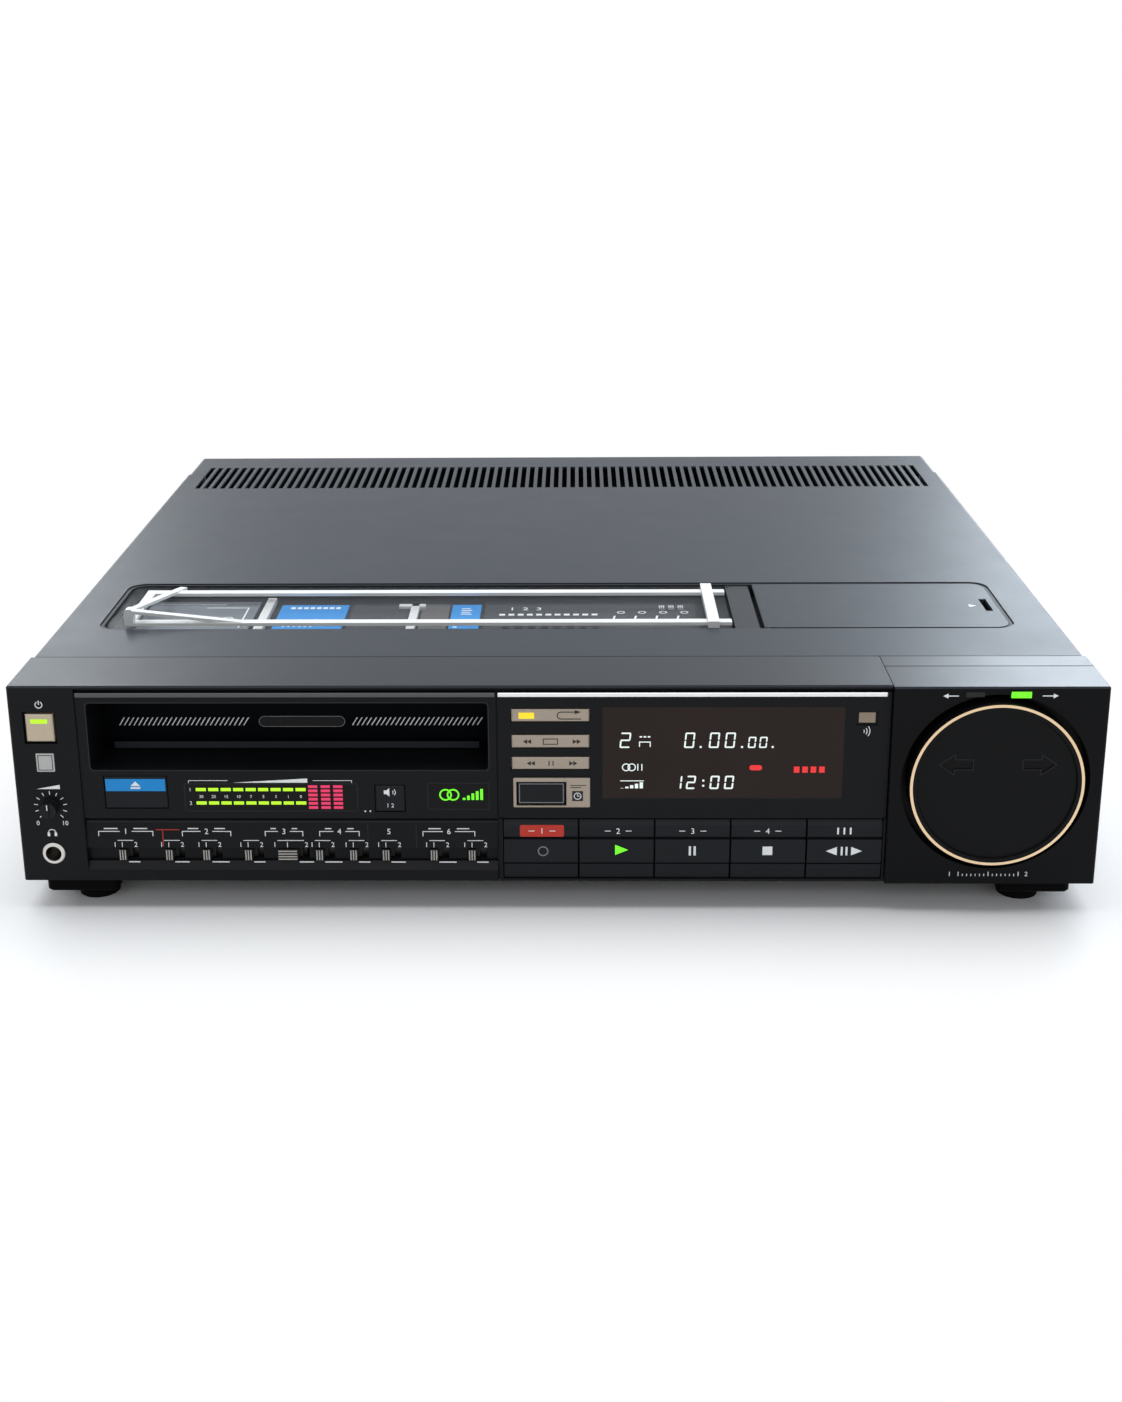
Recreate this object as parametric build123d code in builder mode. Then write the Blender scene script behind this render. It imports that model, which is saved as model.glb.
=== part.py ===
from build123d import *
import os

# Front-loading video cassette recorder, in millimetres.
# X runs to the right seen from the front, Y to the back, Z up.
# The origin is on the ground under the middle of the machine.

# Overall body
BODY_W = 430.0
BODY_D = 390.0
BODY_H = 83.5
FOOT_BLOCK_H = 6.5
FOOT_PAD_H = 6.2
HOUSING_PROUD = 2.0
DIAL_PROUD = 3.5
JACK_REACH = 8.0

BODY_BOTTOM = FOOT_BLOCK_H + FOOT_PAD_H
TOP_Z = BODY_BOTTOM + BODY_H
FRONT_Y = -(BODY_D + JACK_REACH - HOUSING_PROUD - DIAL_PROUD) / 2
LEFT = -BODY_W / 2
RIGHT = BODY_W / 2

# Clearances
SLIDE_GAP = 0.35
STOP_GAP = 0.3
BORE_GAP = 0.06
PANEL_GAP = 0.3

# Front moulding
CAP_DEPTH = 34.3
FACE_WALL = 3.2
CAP_WALL = 2.6
SIDE_WALL = 2.4
FLOOR_WALL = 1.0
END_WALL = 0.9
FASCIA_RIGHT = RIGHT - 83.7
EDGE_ROUND = 1.4
MODULE_LEFT = LEFT + 26.5
MODULE_SET = 0.8
LIP_H = 1.3
LIP_GROOVE_H = 1.5
LIP_GROOVE_DEPTH = 2.2
SPLIT_X = LEFT + 192.4
SPLIT_W = 0.6
SPLIT_DEPTH = 1.0

# Cassette throat and door
CASSETTE_W = 156.0
CASSETTE_H = 25.0
CASSETTE_D = 96.0
THROAT_X = LEFT + 109.8
THROAT_W = CASSETTE_W + 2.0
THROAT_H = CASSETTE_H + 3.1
THROAT_TOP = 7.5
THROAT_CORNER = 1.5
TUNNEL_WALL = 2.0
TUNNEL_FLOOR = 1.6
TUNNEL_ROOF = 1.5
TUNNEL_DEPTH = 31.0
ROOF_DEPTH = 20.5
DOOR_DEPTH = 23.4
DOOR_THICK = 2.4
DOOR_SIDE_GAP = 0.5
DOOR_FLOOR_GAP = 0.6
DOOR_AXIS_DOWN = 6.4
DOOR_PIN_R = 1.3
DOOR_RIB_H = 3.4
DOOR_RIB_PROUD = 1.5
DOOR_RIB_INSET = 4.2

# Push buttons of the front: left, right, top, bottom, measured from the top edge
BUTTON_TRAVEL = 2.0
BUTTON_PROUD = 0.3
BUTTON_FLANGE = 1.1
BUTTON_FLANGE_T = 1.4
BUTTON_EDGE = 0.4
BUTTON_STEM = 3.2
PUSH_BUTTONS = {
    "power_button": (LEFT + 6.8, LEFT + 17.7, 11.7, 23.1),
    "eject_button": (LEFT + 35.7, LEFT + 60.6, 38.5, 52.0),
    "monitor_button": (LEFT + 143.7, LEFT + 155.3, 42.4, 53.4),
    "tape_return_button": (LEFT + 198.2, LEFT + 228.6, 10.0, 15.1),
    "search_bar_upper": (LEFT + 198.2, LEFT + 228.6, 20.9, 26.1),
    "search_bar_lower": (LEFT + 198.2, LEFT + 228.6, 30.2, 35.3),
    "timer_button": (LEFT + 200.1, LEFT + 219.3, 40.7, 50.3),
}
POWER_WELL = 1.1
POWER_WELL_DEPTH = 1.6

# Fixed windows and the bezel of the timer button: left, right, top, bottom
WINDOW_T = 1.6
WINDOWS = {
    "meter_window": (LEFT + 67.9, LEFT + 136.2, 41.9, 53.2),
    "stereo_window": (LEFT + 164.8, LEFT + 188.7, 41.5, 52.3),
    "display_window": (LEFT + 233.9, RIGHT - 101.6, 9.2, 47.8),
    "remote_window": (RIGHT - 96.1, RIGHT - 89.7, 11.7, 15.9),
}
BEZEL_BOX = (LEFT + 198.6, LEFT + 229.0, 38.9, 51.4)
BEZEL_PROUD = 0.9
REMOTE_WELL = 1.0

# Big keys along the lower right
KEY_NAMES = ("key_record", "key_play", "key_pause", "key_stop", "key_frame")
KEYS_LEFT = LEFT + 194.2
KEYS_RIGHT = FASCIA_RIGHT - END_WALL
KEYS_TOP = 57.2
KEY_GAP = 0.76
KEY_THICK = 3.2
KEY_ROOM = 6.0
KEY_BACK_WALL = 1.6
KEY_STEM_W = 9.0
KEY_STEM_H = 7.0
KEY_SLOPE_H = 1.9
KEY_LABEL_H = 5.0
KEY_GROOVE_H = 1.2
KEY_MID_H = 10.0
KEY_LOW_GROOVE_H = 0.7

# Slide switches along the lower left
STRIP_TOP = 57.4
STRIP_BACK = 5.2
STRIP_GROOVE = 2.6
CHANNEL_TOP = 69.5
CHANNEL_H = 6.2
CHANNEL_DEPTH = 3.4
LEDGE_BOTTOM = 79.1
LEVER_TRAVEL = 4.0
LEVER_W = 3.0
LEVER_H = 4.6
LEVER_FRONT = 0.7
WIDE_LEVER_W = 8.0
LEVER_PLATE_H = 8.0
LEVER_PLATE_W = 5.8
LEVER_PLATE_T = 1.5
LEVERS_IN = (40.8, 59.6, 74.7, 91.6, 107.5, 120.3, 134.0, 147.1, 166.4, 181.7)
LEVER_X = [LEFT + distance for distance in LEVERS_IN]
WIDE_LEVER = 4

# Level knob, headphone socket
KNOB_X = LEFT + 13.6
KNOB_DOWN = 51.1
KNOB_R = 3.3
KNOB_PROUD = 4.8
KNOB_POINTER_W = 1.1
KNOB_POINTER_T = 0.6
KNOB_SHAFT_R = 2.0
JACK_X = LEFT + 13.2
JACK_DOWN = 71.4
JACK_RING_R = 4.6
JACK_BODY_R = 5.0
JACK_THREAD_R = 3.9
JACK_BORE_R = 3.2
JACK_DEPTH = 31.0
JACK_PROUD = 0.9

# Jog and shuttle dial
DIAL_X = RIGHT - 42.2
DIAL_DOWN = 39.9
DIAL_R = 33.9
WELL_R = 36.9
WELL_DEPTH = 7.4
WELL_FLOOR = 2.0
RING_W = 1.1
RING_T = 1.2
DISH_DEPTH = 1.0
DIAL_SHAFT_R = 4.0
DIAL_SHAFT_L = 16.0
BUSH_WALL = 3.0
HOUSING_WALL = 2.4
HOUSING_STEP = 22.0
STEP_GROOVE = 0.7
ARROW_X = 16.2
ARROW_UP = 8.6
ARROW_L = 13.0
ARROW_H = 8.4
ARROW_CUT = 0.5

# Sheet metal
SHEET = 1.2
COVER_INSET = 1.2
SEAM_GAP = 0.5
COVER_ROUND = 1.6
COVER_SKIRT = 1.0
KINK_DEPTH = BODY_D - 40.0
KINK_IN = 1.0
REAR_LIP = 9.0
PAN_IN = 2.5
PAN_FLANGE = 13.0

# Louvres in the top
VENT_PITCH = 4.64
VENT_COUNT = int((BODY_W - 21.5) / VENT_PITCH)
VENT_W = 2.7
VENT_FRONT = BODY_D - 73.0
VENT_BACK = BODY_D - 24.0
REAR_VENT_X = 58.0
REAR_VENT_COUNT = 14
REAR_VENT_PITCH = 7.0
REAR_VENT_W = 3.0
REAR_VENT_H = 34.0

# Control bay in the top
BAY_LEFT = LEFT + 18.4
BAY_RIGHT = RIGHT - 19.7
BAY_FRONT = 70.0
BAY_BACK = 136.6
BAY_CORNER = 8.0
TRAY_WALL = 1.5
TRAY_FLOOR_DOWN = 6.4
TRAY_FLOOR_T = 1.4
TRAY_FLANGE = 4.0
TRAY_RIM_DOWN = 0.5
DIVIDER_X = RIGHT - 138.4
DIVIDER_W = 10.4
LID_T = 1.7
LID_DOWN = 0.2
LID_LEFT = RIGHT - 126.1
LID_PIN_R = 0.7
LID_PIN_X = 1.5
LID_PIN_L = 1.1
LID_SLOT = (RIGHT - 27.8, RIGHT - 24.6, 94.2, 111.2)
CLEAR_T = 1.5
CLEAR_DOWN = 0.9
CLEAR_LEFT_GAP = 1.2
CLEAR_SIDE_GAP = 1.6
CLEAR_PIN_R = 0.7
CLEAR_PIN_IN = 1.4
CLEAR_PIN_L = 9.0
RAIL_T = 1.4
RAIL_W = 4.8
RAIL_FRONT = 77.0
RAIL_BACK = 119.8
RAIL_LEFT = LEFT + 29.0
BAR_X = RIGHT - 147.6
BAR_W = 4.8
BAR_H = 2.9
POST_W = 4.0
POST_H = 7.6
STRAP_W = 3.4
STRAP_T = 1.3
STRAP_REAR = (LEFT + 44.0, 130.0)
STRAP_FRONT = (LEFT + 81.5, 79.4)

# Feet and screws
FOOT_X = RIGHT - 22.5
FOOT_IN = 18.0
FOOT_BLOCK_W = 29.0
FOOT_BLOCK_D = 30.0
FOOT_BLOCK_ROUND = 2.5
PAD_X = RIGHT - 25.6
PAD_R = 8.2
PAD_TAPER = 0.9
FOOT_REAR = BODY_D - 38.0
SCREW_HEAD_R = 3.6
SCREW_HEAD_T = 1.0
SCREW_R = 1.5
SCREW_L = 6.0
SIDE_SCREWS = (118.0, BODY_D - 72.0)
SIDE_SCREW_UP = 7.0
REAR_SCREWS = (LEFT + 35.0, 0.0, RIGHT - 35.0)

# Tape deck
DECK_LEFT = LEFT + 9.0
DECK_RIGHT = LEFT + 203.0
DECK_FRONT = 50.0
DECK_BACK = 305.0
DECK_T = 1.6
DECK_UP = 26.3
POST_R = 5.0
DECK_POST_IN = 7.0
DECK_POSTS = (
    (DECK_LEFT + DECK_POST_IN, 62.0),
    (DECK_RIGHT - DECK_POST_IN, 216.0),
    (DECK_LEFT + DECK_POST_IN, DECK_BACK - DECK_POST_IN),
    (DECK_RIGHT - DECK_POST_IN, DECK_BACK - DECK_POST_IN),
)
DRUM_X = THROAT_X
DRUM_DEPTH = 240.0
DRUM_R = 37.25
LOWER_DRUM_H = 17.0
UPPER_DRUM_H = 17.0
DRUM_SPLIT = 0.5
DRUM_SHAFT_R = 3.0
DRUM_FOOT_R = 45.0
DRUM_FOOT_H = 4.0
LOAD_RING_R = 60.0
LOAD_RING_W = 8.0
LOAD_RING_T = 3.0
LOAD_POST_R = 2.5
LOAD_POST_H = 18.0
LOAD_PEG_R = 3.0
CAPSTAN_X = LEFT + 155.0
CAPSTAN_DEPTH = 184.0
CAPSTAN_R = 2.0
CAPSTAN_TOP = 17.0
FLYWHEEL_R = 28.0
FLYWHEEL_T = 9.0
BUSH_R = 6.0
BUSH_L = 6.0
PINCH_X = LEFT + 169.0
PINCH_DEPTH = 178.0
PINCH_R = 7.5
PINCH_H = 13.0
PINCH_PIN_R = 1.5
REEL_SPACING = 69.0
REEL_DEPTH = 126.5
REEL_R = 21.0
REEL_T = 3.6
SPINDLE_R = 4.6
SPINDLE_TOP = 15.0
REEL_PIN_R = 2.4

# Cassette cage and its sled
CAGE_GAP = 0.7
CAGE_SHEET = 1.0
CAGE_FRONT = 55.0
CAGE_SHORT = 21.0
CAGE_LIP = 5.0
CAGE_BACK_H = 11.0
SLED_GAP = 1.2
SLED_SHEET = 1.2
SLED_TRAVEL = 40.0
CAGE_DROP = 17.0
STUD_R = 2.0
STUD_FIT = 0.15
GUIDE_GAP = 1.4
GUIDE_SHEET = 1.2

# Boards and power supply
BOARD_T = 1.6
STANDOFF_H = 10.0
STANDOFF_R = 3.0
MAIN_BOARD = (2.0, RIGHT - 10.0, 62.0, BODY_D - 100.0)
POWER_BOARD = (-8.0, 126.0, BODY_D - 72.0, BODY_D - 12.0)
FRONT_BOARD_DEPTH = 13.6
BOARD_POSTS = ((LEFT + 24.0, 26.0), (LEFT + 24.0, 76.0), (LEFT + 231.4, 51.6), (RIGHT - 90.5, 32.0))
FRONT_BOARD_IN = 4.0
SWITCH_FACE = 10.0
SWITCH_SIZE = 6.0
CHIPS = (60.0, 150.0, 44.0, 36.0, 34.0, 12.0, 4.0)
MODULES = (160.0, 190.0, 30.0, 44.0, 11.0, 28.0, 4.0)
SHIELD_BOX = (25.0, 95.0, BODY_D - 167.0, BODY_D - 121.0)
SHIELD_H = 16.0
SMALL_CANS = ((120.0, 110.0), (120.0, 128.0), (120.0, 200.0), (120.0, 218.0), (176.0, 110.0))
SMALL_CAN_R = 5.0
SMALL_CAN_H = 14.0
BIG_CANS = ((102.0, BODY_D - 57.0), (102.0, BODY_D - 30.0), (76.0, BODY_D - 57.0))
BIG_CAN_R = 10.0
BIG_CAN_H = 32.0
SINK_BASE = (4.0, 56.0, BODY_D - 46.0, BODY_D - 42.0)
SINK_FINS = (7, 8.0, 1.6, 16.0)
SINK_H = 34.0
TRANSFORMER = (RIGHT - 75.0, RIGHT - 23.0, BODY_D - 72.0, BODY_D - 20.0)
TRANSFORMER_H = 46.0
TRANSFORMER_FOOT = 2.0
CORE_IN = 12.0
COIL_IN = 9.0
TUNER_BOX = (LEFT + 29.0, LEFT + 103.0, BODY_D - 45.0, BODY_D - 5.0)
TUNER_H = 52.0

# Sockets on the back
RCA_R = 4.15
RCA_X = (LEFT + 131.0, LEFT + 149.0, LEFT + 167.0, LEFT + 185.0)
RCA_UP = 42.0
AERIAL_X = (LEFT + 49.0, LEFT + 77.0)
AERIAL_R = 4.7
AERIAL_UP = 34.0
INLET_X = RIGHT - 49.0
INLET_UP = 26.0
INLET_W = 24.0
INLET_H = 16.0
INLET_RIM = 3.0
INLET_DEPTH = 14.0
INLET_SLOT_W = 15.0
INLET_SLOT_H = 8.4
INLET_PIN_R = 1.2
INLET_PIN_X = 3.4
SOCKET_BASE_T = 12.0
SOCKET_BASE_RIM = 8.0
SOCKET_NECK = 0.5
RCA_SHELL = 1.0
RCA_PIN_R = 1.6
SOCKET_HOLE_GAP = 0.4


def deep(distance):
    """Y of a point that lies this far behind the front face."""
    return FRONT_Y + distance


def panel(depth):
    """Sketch plane facing the back: local x is X, local y is the distance below the top edge."""
    return Plane(origin=(0, deep(depth), TOP_Z), x_dir=(1, 0, 0), z_dir=(0, 1, 0))


def level(height):
    """Sketch plane facing up: local x is X, local y is the distance behind the front face."""
    return Plane(origin=(0, FRONT_Y, height), x_dir=(1, 0, 0), z_dir=(0, 0, 1))


def side(x):
    """Sketch plane facing right: local x is the depth, local y is the height over the top edge."""
    return Plane(origin=(x, FRONT_Y, TOP_Z), x_dir=(0, 1, 0), z_dir=(1, 0, 0))


def span(x0, x1, y0, y1, corner=0.0):
    """Rectangle in the current sketch, between two x and two y values."""
    with Locations(((x0 + x1) / 2, (y0 + y1) / 2)):
        if corner > 0:
            RectangleRounded(x1 - x0, y1 - y0, corner)
        else:
            Rectangle(x1 - x0, y1 - y0)


def save(part, name):
    """Label one finished piece and write its file."""
    part.label = name
    export_step(part, f"parts/{name}.step")


os.makedirs("parts", exist_ok=True)

# Values that several pieces share
THROAT_LEFT = THROAT_X - THROAT_W / 2
THROAT_RIGHT = THROAT_X + THROAT_W / 2
THROAT_BOTTOM = THROAT_TOP + THROAT_H
DOOR_AXIS_DEPTH = DOOR_DEPTH + DOOR_THICK / 2
KEY_PITCH = (KEYS_RIGHT - KEYS_LEFT) / len(KEY_NAMES)
KEYS_BOTTOM = BODY_H - FLOOR_WALL
CHANNEL_BOTTOM = CHANNEL_TOP + CHANNEL_H
LEVER_DOWN = (CHANNEL_TOP + CHANNEL_BOTTOM) / 2
HOUSING_LEFT = FASCIA_RIGHT + PANEL_GAP
COVER_HALF = BODY_W / 2 - COVER_INSET
COVER_FRONT = CAP_DEPTH + SEAM_GAP
PAN_HALF = COVER_HALF - PAN_IN
PAN_TOP = BODY_BOTTOM + SHEET
PANEL_BACK = BODY_D - SHEET
TRAY_FLOOR_TOP = TOP_Z - TRAY_FLOOR_DOWN
DECK_BOTTOM = BODY_BOTTOM + DECK_UP
DECK_TOP = DECK_BOTTOM + DECK_T


def lever_width(index):
    return WIDE_LEVER_W if index == WIDE_LEVER else LEVER_W


# Front moulding
with BuildPart() as front_fascia:
    with BuildSketch(level(BODY_BOTTOM)):
        span(-BODY_W / 2, FASCIA_RIGHT, 0, CAP_DEPTH)
    extrude(amount=BODY_H)
    left_corner = front_fascia.edges().filter_by(Axis.Z).sort_by(Axis.X)[:2].sort_by(Axis.Y)[0]
    fillet(left_corner, radius=EDGE_ROUND)
    top_front = front_fascia.edges().filter_by(Axis.X).group_by(Axis.Z)[-1].sort_by(Axis.Y)[0]
    chamfer(top_front, length=EDGE_ROUND / 2)
    with BuildSketch(panel(FACE_WALL)):
        span(-BODY_W / 2 + SIDE_WALL, FASCIA_RIGHT - END_WALL, CAP_WALL, BODY_H - FLOOR_WALL)
    extrude(amount=CAP_DEPTH, mode=Mode.SUBTRACT)
    # Walls around the throat, the keys and the switch strip
    with BuildSketch(panel(0)):
        span(THROAT_LEFT - TUNNEL_WALL, THROAT_RIGHT + TUNNEL_WALL, CAP_WALL, THROAT_BOTTOM + TUNNEL_FLOOR)
    extrude(amount=TUNNEL_DEPTH)
    with BuildSketch(panel(0)):
        span(KEYS_LEFT - 1.2, FASCIA_RIGHT, KEYS_TOP - 1.4, BODY_H)
    extrude(amount=KEY_ROOM + KEY_BACK_WALL)
    with BuildSketch(panel(0)):
        span(MODULE_LEFT, KEYS_LEFT, STRIP_TOP - 1.4, BODY_H)
    extrude(amount=STRIP_BACK)
    with BuildSketch(panel(1)):
        with Locations(*BOARD_POSTS):
            Circle(STANDOFF_R)
    extrude(amount=FRONT_BOARD_DEPTH - 1)
    # Throat, with the pocket that the open door folds into
    with BuildSketch(panel(-1)):
        span(THROAT_LEFT, THROAT_RIGHT, THROAT_TOP, THROAT_BOTTOM, THROAT_CORNER)
    extrude(amount=TUNNEL_DEPTH + 2, mode=Mode.SUBTRACT)
    with BuildSketch(panel(FACE_WALL)):
        span(THROAT_LEFT, THROAT_RIGHT, CAP_WALL, THROAT_TOP - TUNNEL_ROOF)
    extrude(amount=TUNNEL_DEPTH, mode=Mode.SUBTRACT)
    with BuildSketch(panel(ROOF_DEPTH)):
        span(THROAT_LEFT, THROAT_RIGHT, CAP_WALL, THROAT_BOTTOM)
    extrude(amount=TUNNEL_DEPTH, mode=Mode.SUBTRACT)
    with BuildSketch(side(THROAT_LEFT - TUNNEL_WALL)):
        with Locations((DOOR_AXIS_DEPTH, -DOOR_AXIS_DOWN)):
            Circle(DOOR_PIN_R + BORE_GAP)
    extrude(amount=THROAT_W + 2 * TUNNEL_WALL, mode=Mode.SUBTRACT)
    # Sunk face of the two modules, the shadow groove under the cap and the split line
    with BuildSketch(panel(-1)):
        span(MODULE_LEFT, FASCIA_RIGHT + 1, LIP_H, STRIP_TOP - 1.0)
    extrude(amount=1 + MODULE_SET, mode=Mode.SUBTRACT)
    with BuildSketch(panel(-1)):
        span(MODULE_LEFT, FASCIA_RIGHT + 1, LIP_H, LIP_H + LIP_GROOVE_H)
    extrude(amount=1 + LIP_GROOVE_DEPTH, mode=Mode.SUBTRACT)
    with BuildSketch(panel(-1)):
        span(SPLIT_X - SPLIT_W / 2, SPLIT_X + SPLIT_W / 2, LIP_H, BODY_H + 1)
    extrude(amount=1 + MODULE_SET + SPLIT_DEPTH, mode=Mode.SUBTRACT)
    # Key room with holes for the stems
    with BuildSketch(panel(-1)):
        span(KEYS_LEFT, KEYS_RIGHT, KEYS_TOP - 0.8, KEYS_BOTTOM)
    extrude(amount=1 + KEY_ROOM, mode=Mode.SUBTRACT)
    with BuildSketch(panel(0)):
        for index in range(len(KEY_NAMES)):
            with Locations((KEYS_LEFT + KEY_PITCH * (index + 0.5), (KEYS_TOP + KEYS_BOTTOM) / 2)):
                Rectangle(KEY_STEM_W + 2 * SLIDE_GAP, KEY_STEM_H + 2 * SLIDE_GAP)
    extrude(amount=KEY_ROOM + KEY_BACK_WALL + 1, mode=Mode.SUBTRACT)
    # Switch strip: sloping label face, lever channel, sloping ledge
    with BuildSketch(side(MODULE_LEFT)):
        with BuildLine():
            Polyline(
                (-1, -STRIP_TOP + 1.0),
                (STRIP_GROOVE, -STRIP_TOP + 1.0),
                (STRIP_GROOVE, -STRIP_TOP),
                (2.0, -STRIP_TOP - 0.6),
                (0.9, -CHANNEL_TOP),
                (CHANNEL_DEPTH, -CHANNEL_TOP),
                (CHANNEL_DEPTH, -CHANNEL_BOTTOM),
                (2.2, -CHANNEL_BOTTOM),
                (0.3, -LEDGE_BOTTOM),
                (-1, -LEDGE_BOTTOM),
                close=True,
            )
        make_face()
    extrude(amount=SPLIT_X - SPLIT_W / 2 - MODULE_LEFT, mode=Mode.SUBTRACT)
    with BuildSketch(panel(0)):
        for index, x in enumerate(LEVER_X):
            width = lever_width(index) + LEVER_TRAVEL + 2 * SLIDE_GAP
            with Locations((x + LEVER_TRAVEL / 2, LEVER_DOWN)):
                Rectangle(width, LEVER_H + 2 * SLIDE_GAP)
    extrude(amount=STRIP_BACK + 1, mode=Mode.SUBTRACT)
    # Openings for buttons and windows
    with BuildSketch(panel(-1)):
        for x0, x1, top, bottom in PUSH_BUTTONS.values():
            span(x0 - SLIDE_GAP, x1 + SLIDE_GAP, top - SLIDE_GAP, bottom + SLIDE_GAP)
        for x0, x1, top, bottom in WINDOWS.values():
            span(x0, x1, top, bottom)
    extrude(amount=FACE_WALL + 2, mode=Mode.SUBTRACT)
    with BuildSketch(panel(-1)):
        x0, x1, top, bottom = PUSH_BUTTONS["power_button"]
        span(x0 - POWER_WELL, x1 + POWER_WELL, top - POWER_WELL, bottom + POWER_WELL)
    extrude(amount=1 + POWER_WELL_DEPTH, mode=Mode.SUBTRACT)
    with BuildSketch(panel(-1)):
        x0, x1, top, bottom = WINDOWS["remote_window"]
        span(x0 - REMOTE_WELL, x1 + REMOTE_WELL, top - REMOTE_WELL, bottom + REMOTE_WELL)
    extrude(amount=1 + MODULE_SET + 0.6, mode=Mode.SUBTRACT)
    # Holes for the level shaft and the headphone socket
    with BuildSketch(panel(-1)):
        with Locations((KNOB_X, KNOB_DOWN)):
            Circle(KNOB_SHAFT_R + BORE_GAP)
        with Locations((JACK_X, JACK_DOWN)):
            Circle(JACK_THREAD_R)
    extrude(amount=FACE_WALL + 2, mode=Mode.SUBTRACT)
save(front_fascia.part, "front_fascia")

# Cassette door, hinged at its top edge and pushed in by a cassette
with BuildPart() as cassette_door:
    door_left = THROAT_LEFT + DOOR_SIDE_GAP
    door_right = THROAT_RIGHT - DOOR_SIDE_GAP
    with BuildSketch(panel(DOOR_DEPTH)):
        span(door_left, door_right, DOOR_AXIS_DOWN, THROAT_BOTTOM - DOOR_FLOOR_GAP)
    extrude(amount=DOOR_THICK)
    with BuildSketch(side(door_left)):
        with Locations((DOOR_AXIS_DEPTH, -DOOR_AXIS_DOWN)):
            Circle(DOOR_THICK / 2)
    extrude(amount=door_right - door_left)
    rib_bottom = THROAT_BOTTOM - DOOR_FLOOR_GAP
    with BuildSketch(panel(DOOR_DEPTH - DOOR_RIB_PROUD)):
        span(door_left + DOOR_RIB_INSET, door_right - DOOR_RIB_INSET, rib_bottom - DOOR_RIB_H, rib_bottom)
    extrude(amount=DOOR_RIB_PROUD + DOOR_THICK / 2)
    with BuildSketch(side(THROAT_LEFT - TUNNEL_WALL + STOP_GAP)):
        with Locations((DOOR_AXIS_DEPTH, -DOOR_AXIS_DOWN)):
            Circle(DOOR_PIN_R)
    extrude(amount=THROAT_W + 2 * TUNNEL_WALL - 2 * STOP_GAP)
save(cassette_door.part, "cassette_door")

# Push buttons, each held by a flange behind the face
for name, (x0, x1, top, bottom) in PUSH_BUTTONS.items():
    on_module = x0 > MODULE_LEFT
    face_depth = (MODULE_SET if on_module else 0.0) - BUTTON_PROUD
    stem_end = SWITCH_FACE - BUTTON_TRAVEL - STOP_GAP
    with BuildPart() as button:
        with BuildSketch(panel(face_depth)):
            span(x0, x1, top, bottom)
        extrude(amount=FACE_WALL + STOP_GAP - face_depth)
        front_edges = button.faces().sort_by(Axis.Y)[0].edges()
        chamfer(front_edges, length=BUTTON_EDGE)
        flange_depth = FACE_WALL + STOP_GAP
        with BuildSketch(panel(flange_depth)):
            span(x0 - BUTTON_FLANGE, x1 + BUTTON_FLANGE, top - BUTTON_FLANGE, bottom + BUTTON_FLANGE)
        extrude(amount=BUTTON_FLANGE_T)
        with BuildSketch(panel(flange_depth)):
            with Locations(((x0 + x1) / 2, (top + bottom) / 2)):
                Rectangle(BUTTON_STEM, BUTTON_STEM)
        extrude(amount=stem_end - flange_depth)
    save(button.part, name)

# Windows, let into the face
for name, (x0, x1, top, bottom) in WINDOWS.items():
    front_depth = MODULE_SET + (0.6 if name == "remote_window" else 0.0)
    with BuildPart() as window:
        with BuildSketch(panel(front_depth)):
            span(x0, x1, top, bottom)
        extrude(amount=WINDOW_T)
    save(window.part, name)

# Bezel plate round the timer button
with BuildPart() as timer_bezel:
    x0, x1, top, bottom = BEZEL_BOX
    with BuildSketch(panel(MODULE_SET - BEZEL_PROUD)):
        span(x0, x1, top, bottom, 0.5)
    extrude(amount=BEZEL_PROUD)
    chamfer(timer_bezel.faces().sort_by(Axis.Y)[0].edges(), length=BUTTON_EDGE / 2)
    x0, x1, top, bottom = PUSH_BUTTONS["timer_button"]
    with BuildSketch(panel(-1)):
        span(x0 - SLIDE_GAP, x1 + SLIDE_GAP, top - SLIDE_GAP, bottom + SLIDE_GAP)
    extrude(amount=2 + MODULE_SET, mode=Mode.SUBTRACT)
save(timer_bezel.part, "timer_bezel")

# Big keys, each with a sloping head, a label band and two lower bands
KEY_W = KEY_PITCH - KEY_GAP
for index, name in enumerate(KEY_NAMES):
    key_left = KEYS_LEFT + KEY_GAP / 2 + KEY_PITCH * index
    label_top = KEYS_TOP + KEY_SLOPE_H
    groove_top = label_top + KEY_LABEL_H
    mid_top = groove_top + KEY_GROOVE_H
    low_groove_top = mid_top + KEY_MID_H
    low_top = low_groove_top + KEY_LOW_GROOVE_H
    key_bottom = KEYS_BOTTOM - STOP_GAP
    with BuildPart() as key:
        with BuildSketch(side(key_left)):
            with BuildLine():
                Polyline(
                    (1.6, -KEYS_TOP),
                    (0.2, -label_top),
                    (0.2, -groove_top),
                    (1.5, -groove_top - 0.2),
                    (1.5, -mid_top + 0.2),
                    (-0.1, -mid_top),
                    (-0.1, -low_groove_top),
                    (0.8, -low_groove_top - 0.2),
                    (0.8, -low_top + 0.2),
                    (0.0, -low_top),
                    (0.7, -key_bottom),
                    (KEY_THICK, -key_bottom),
                    (KEY_THICK, -KEYS_TOP),
                    close=True,
                )
            make_face()
        extrude(amount=KEY_W)
        with BuildSketch(panel(KEY_THICK)):
            with Locations((key_left + KEY_W / 2, (KEYS_TOP + KEYS_BOTTOM) / 2)):
                Rectangle(KEY_STEM_W, KEY_STEM_H)
        extrude(amount=SWITCH_FACE - BUTTON_TRAVEL - STOP_GAP - KEY_THICK)
    save(key.part, name)

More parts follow.
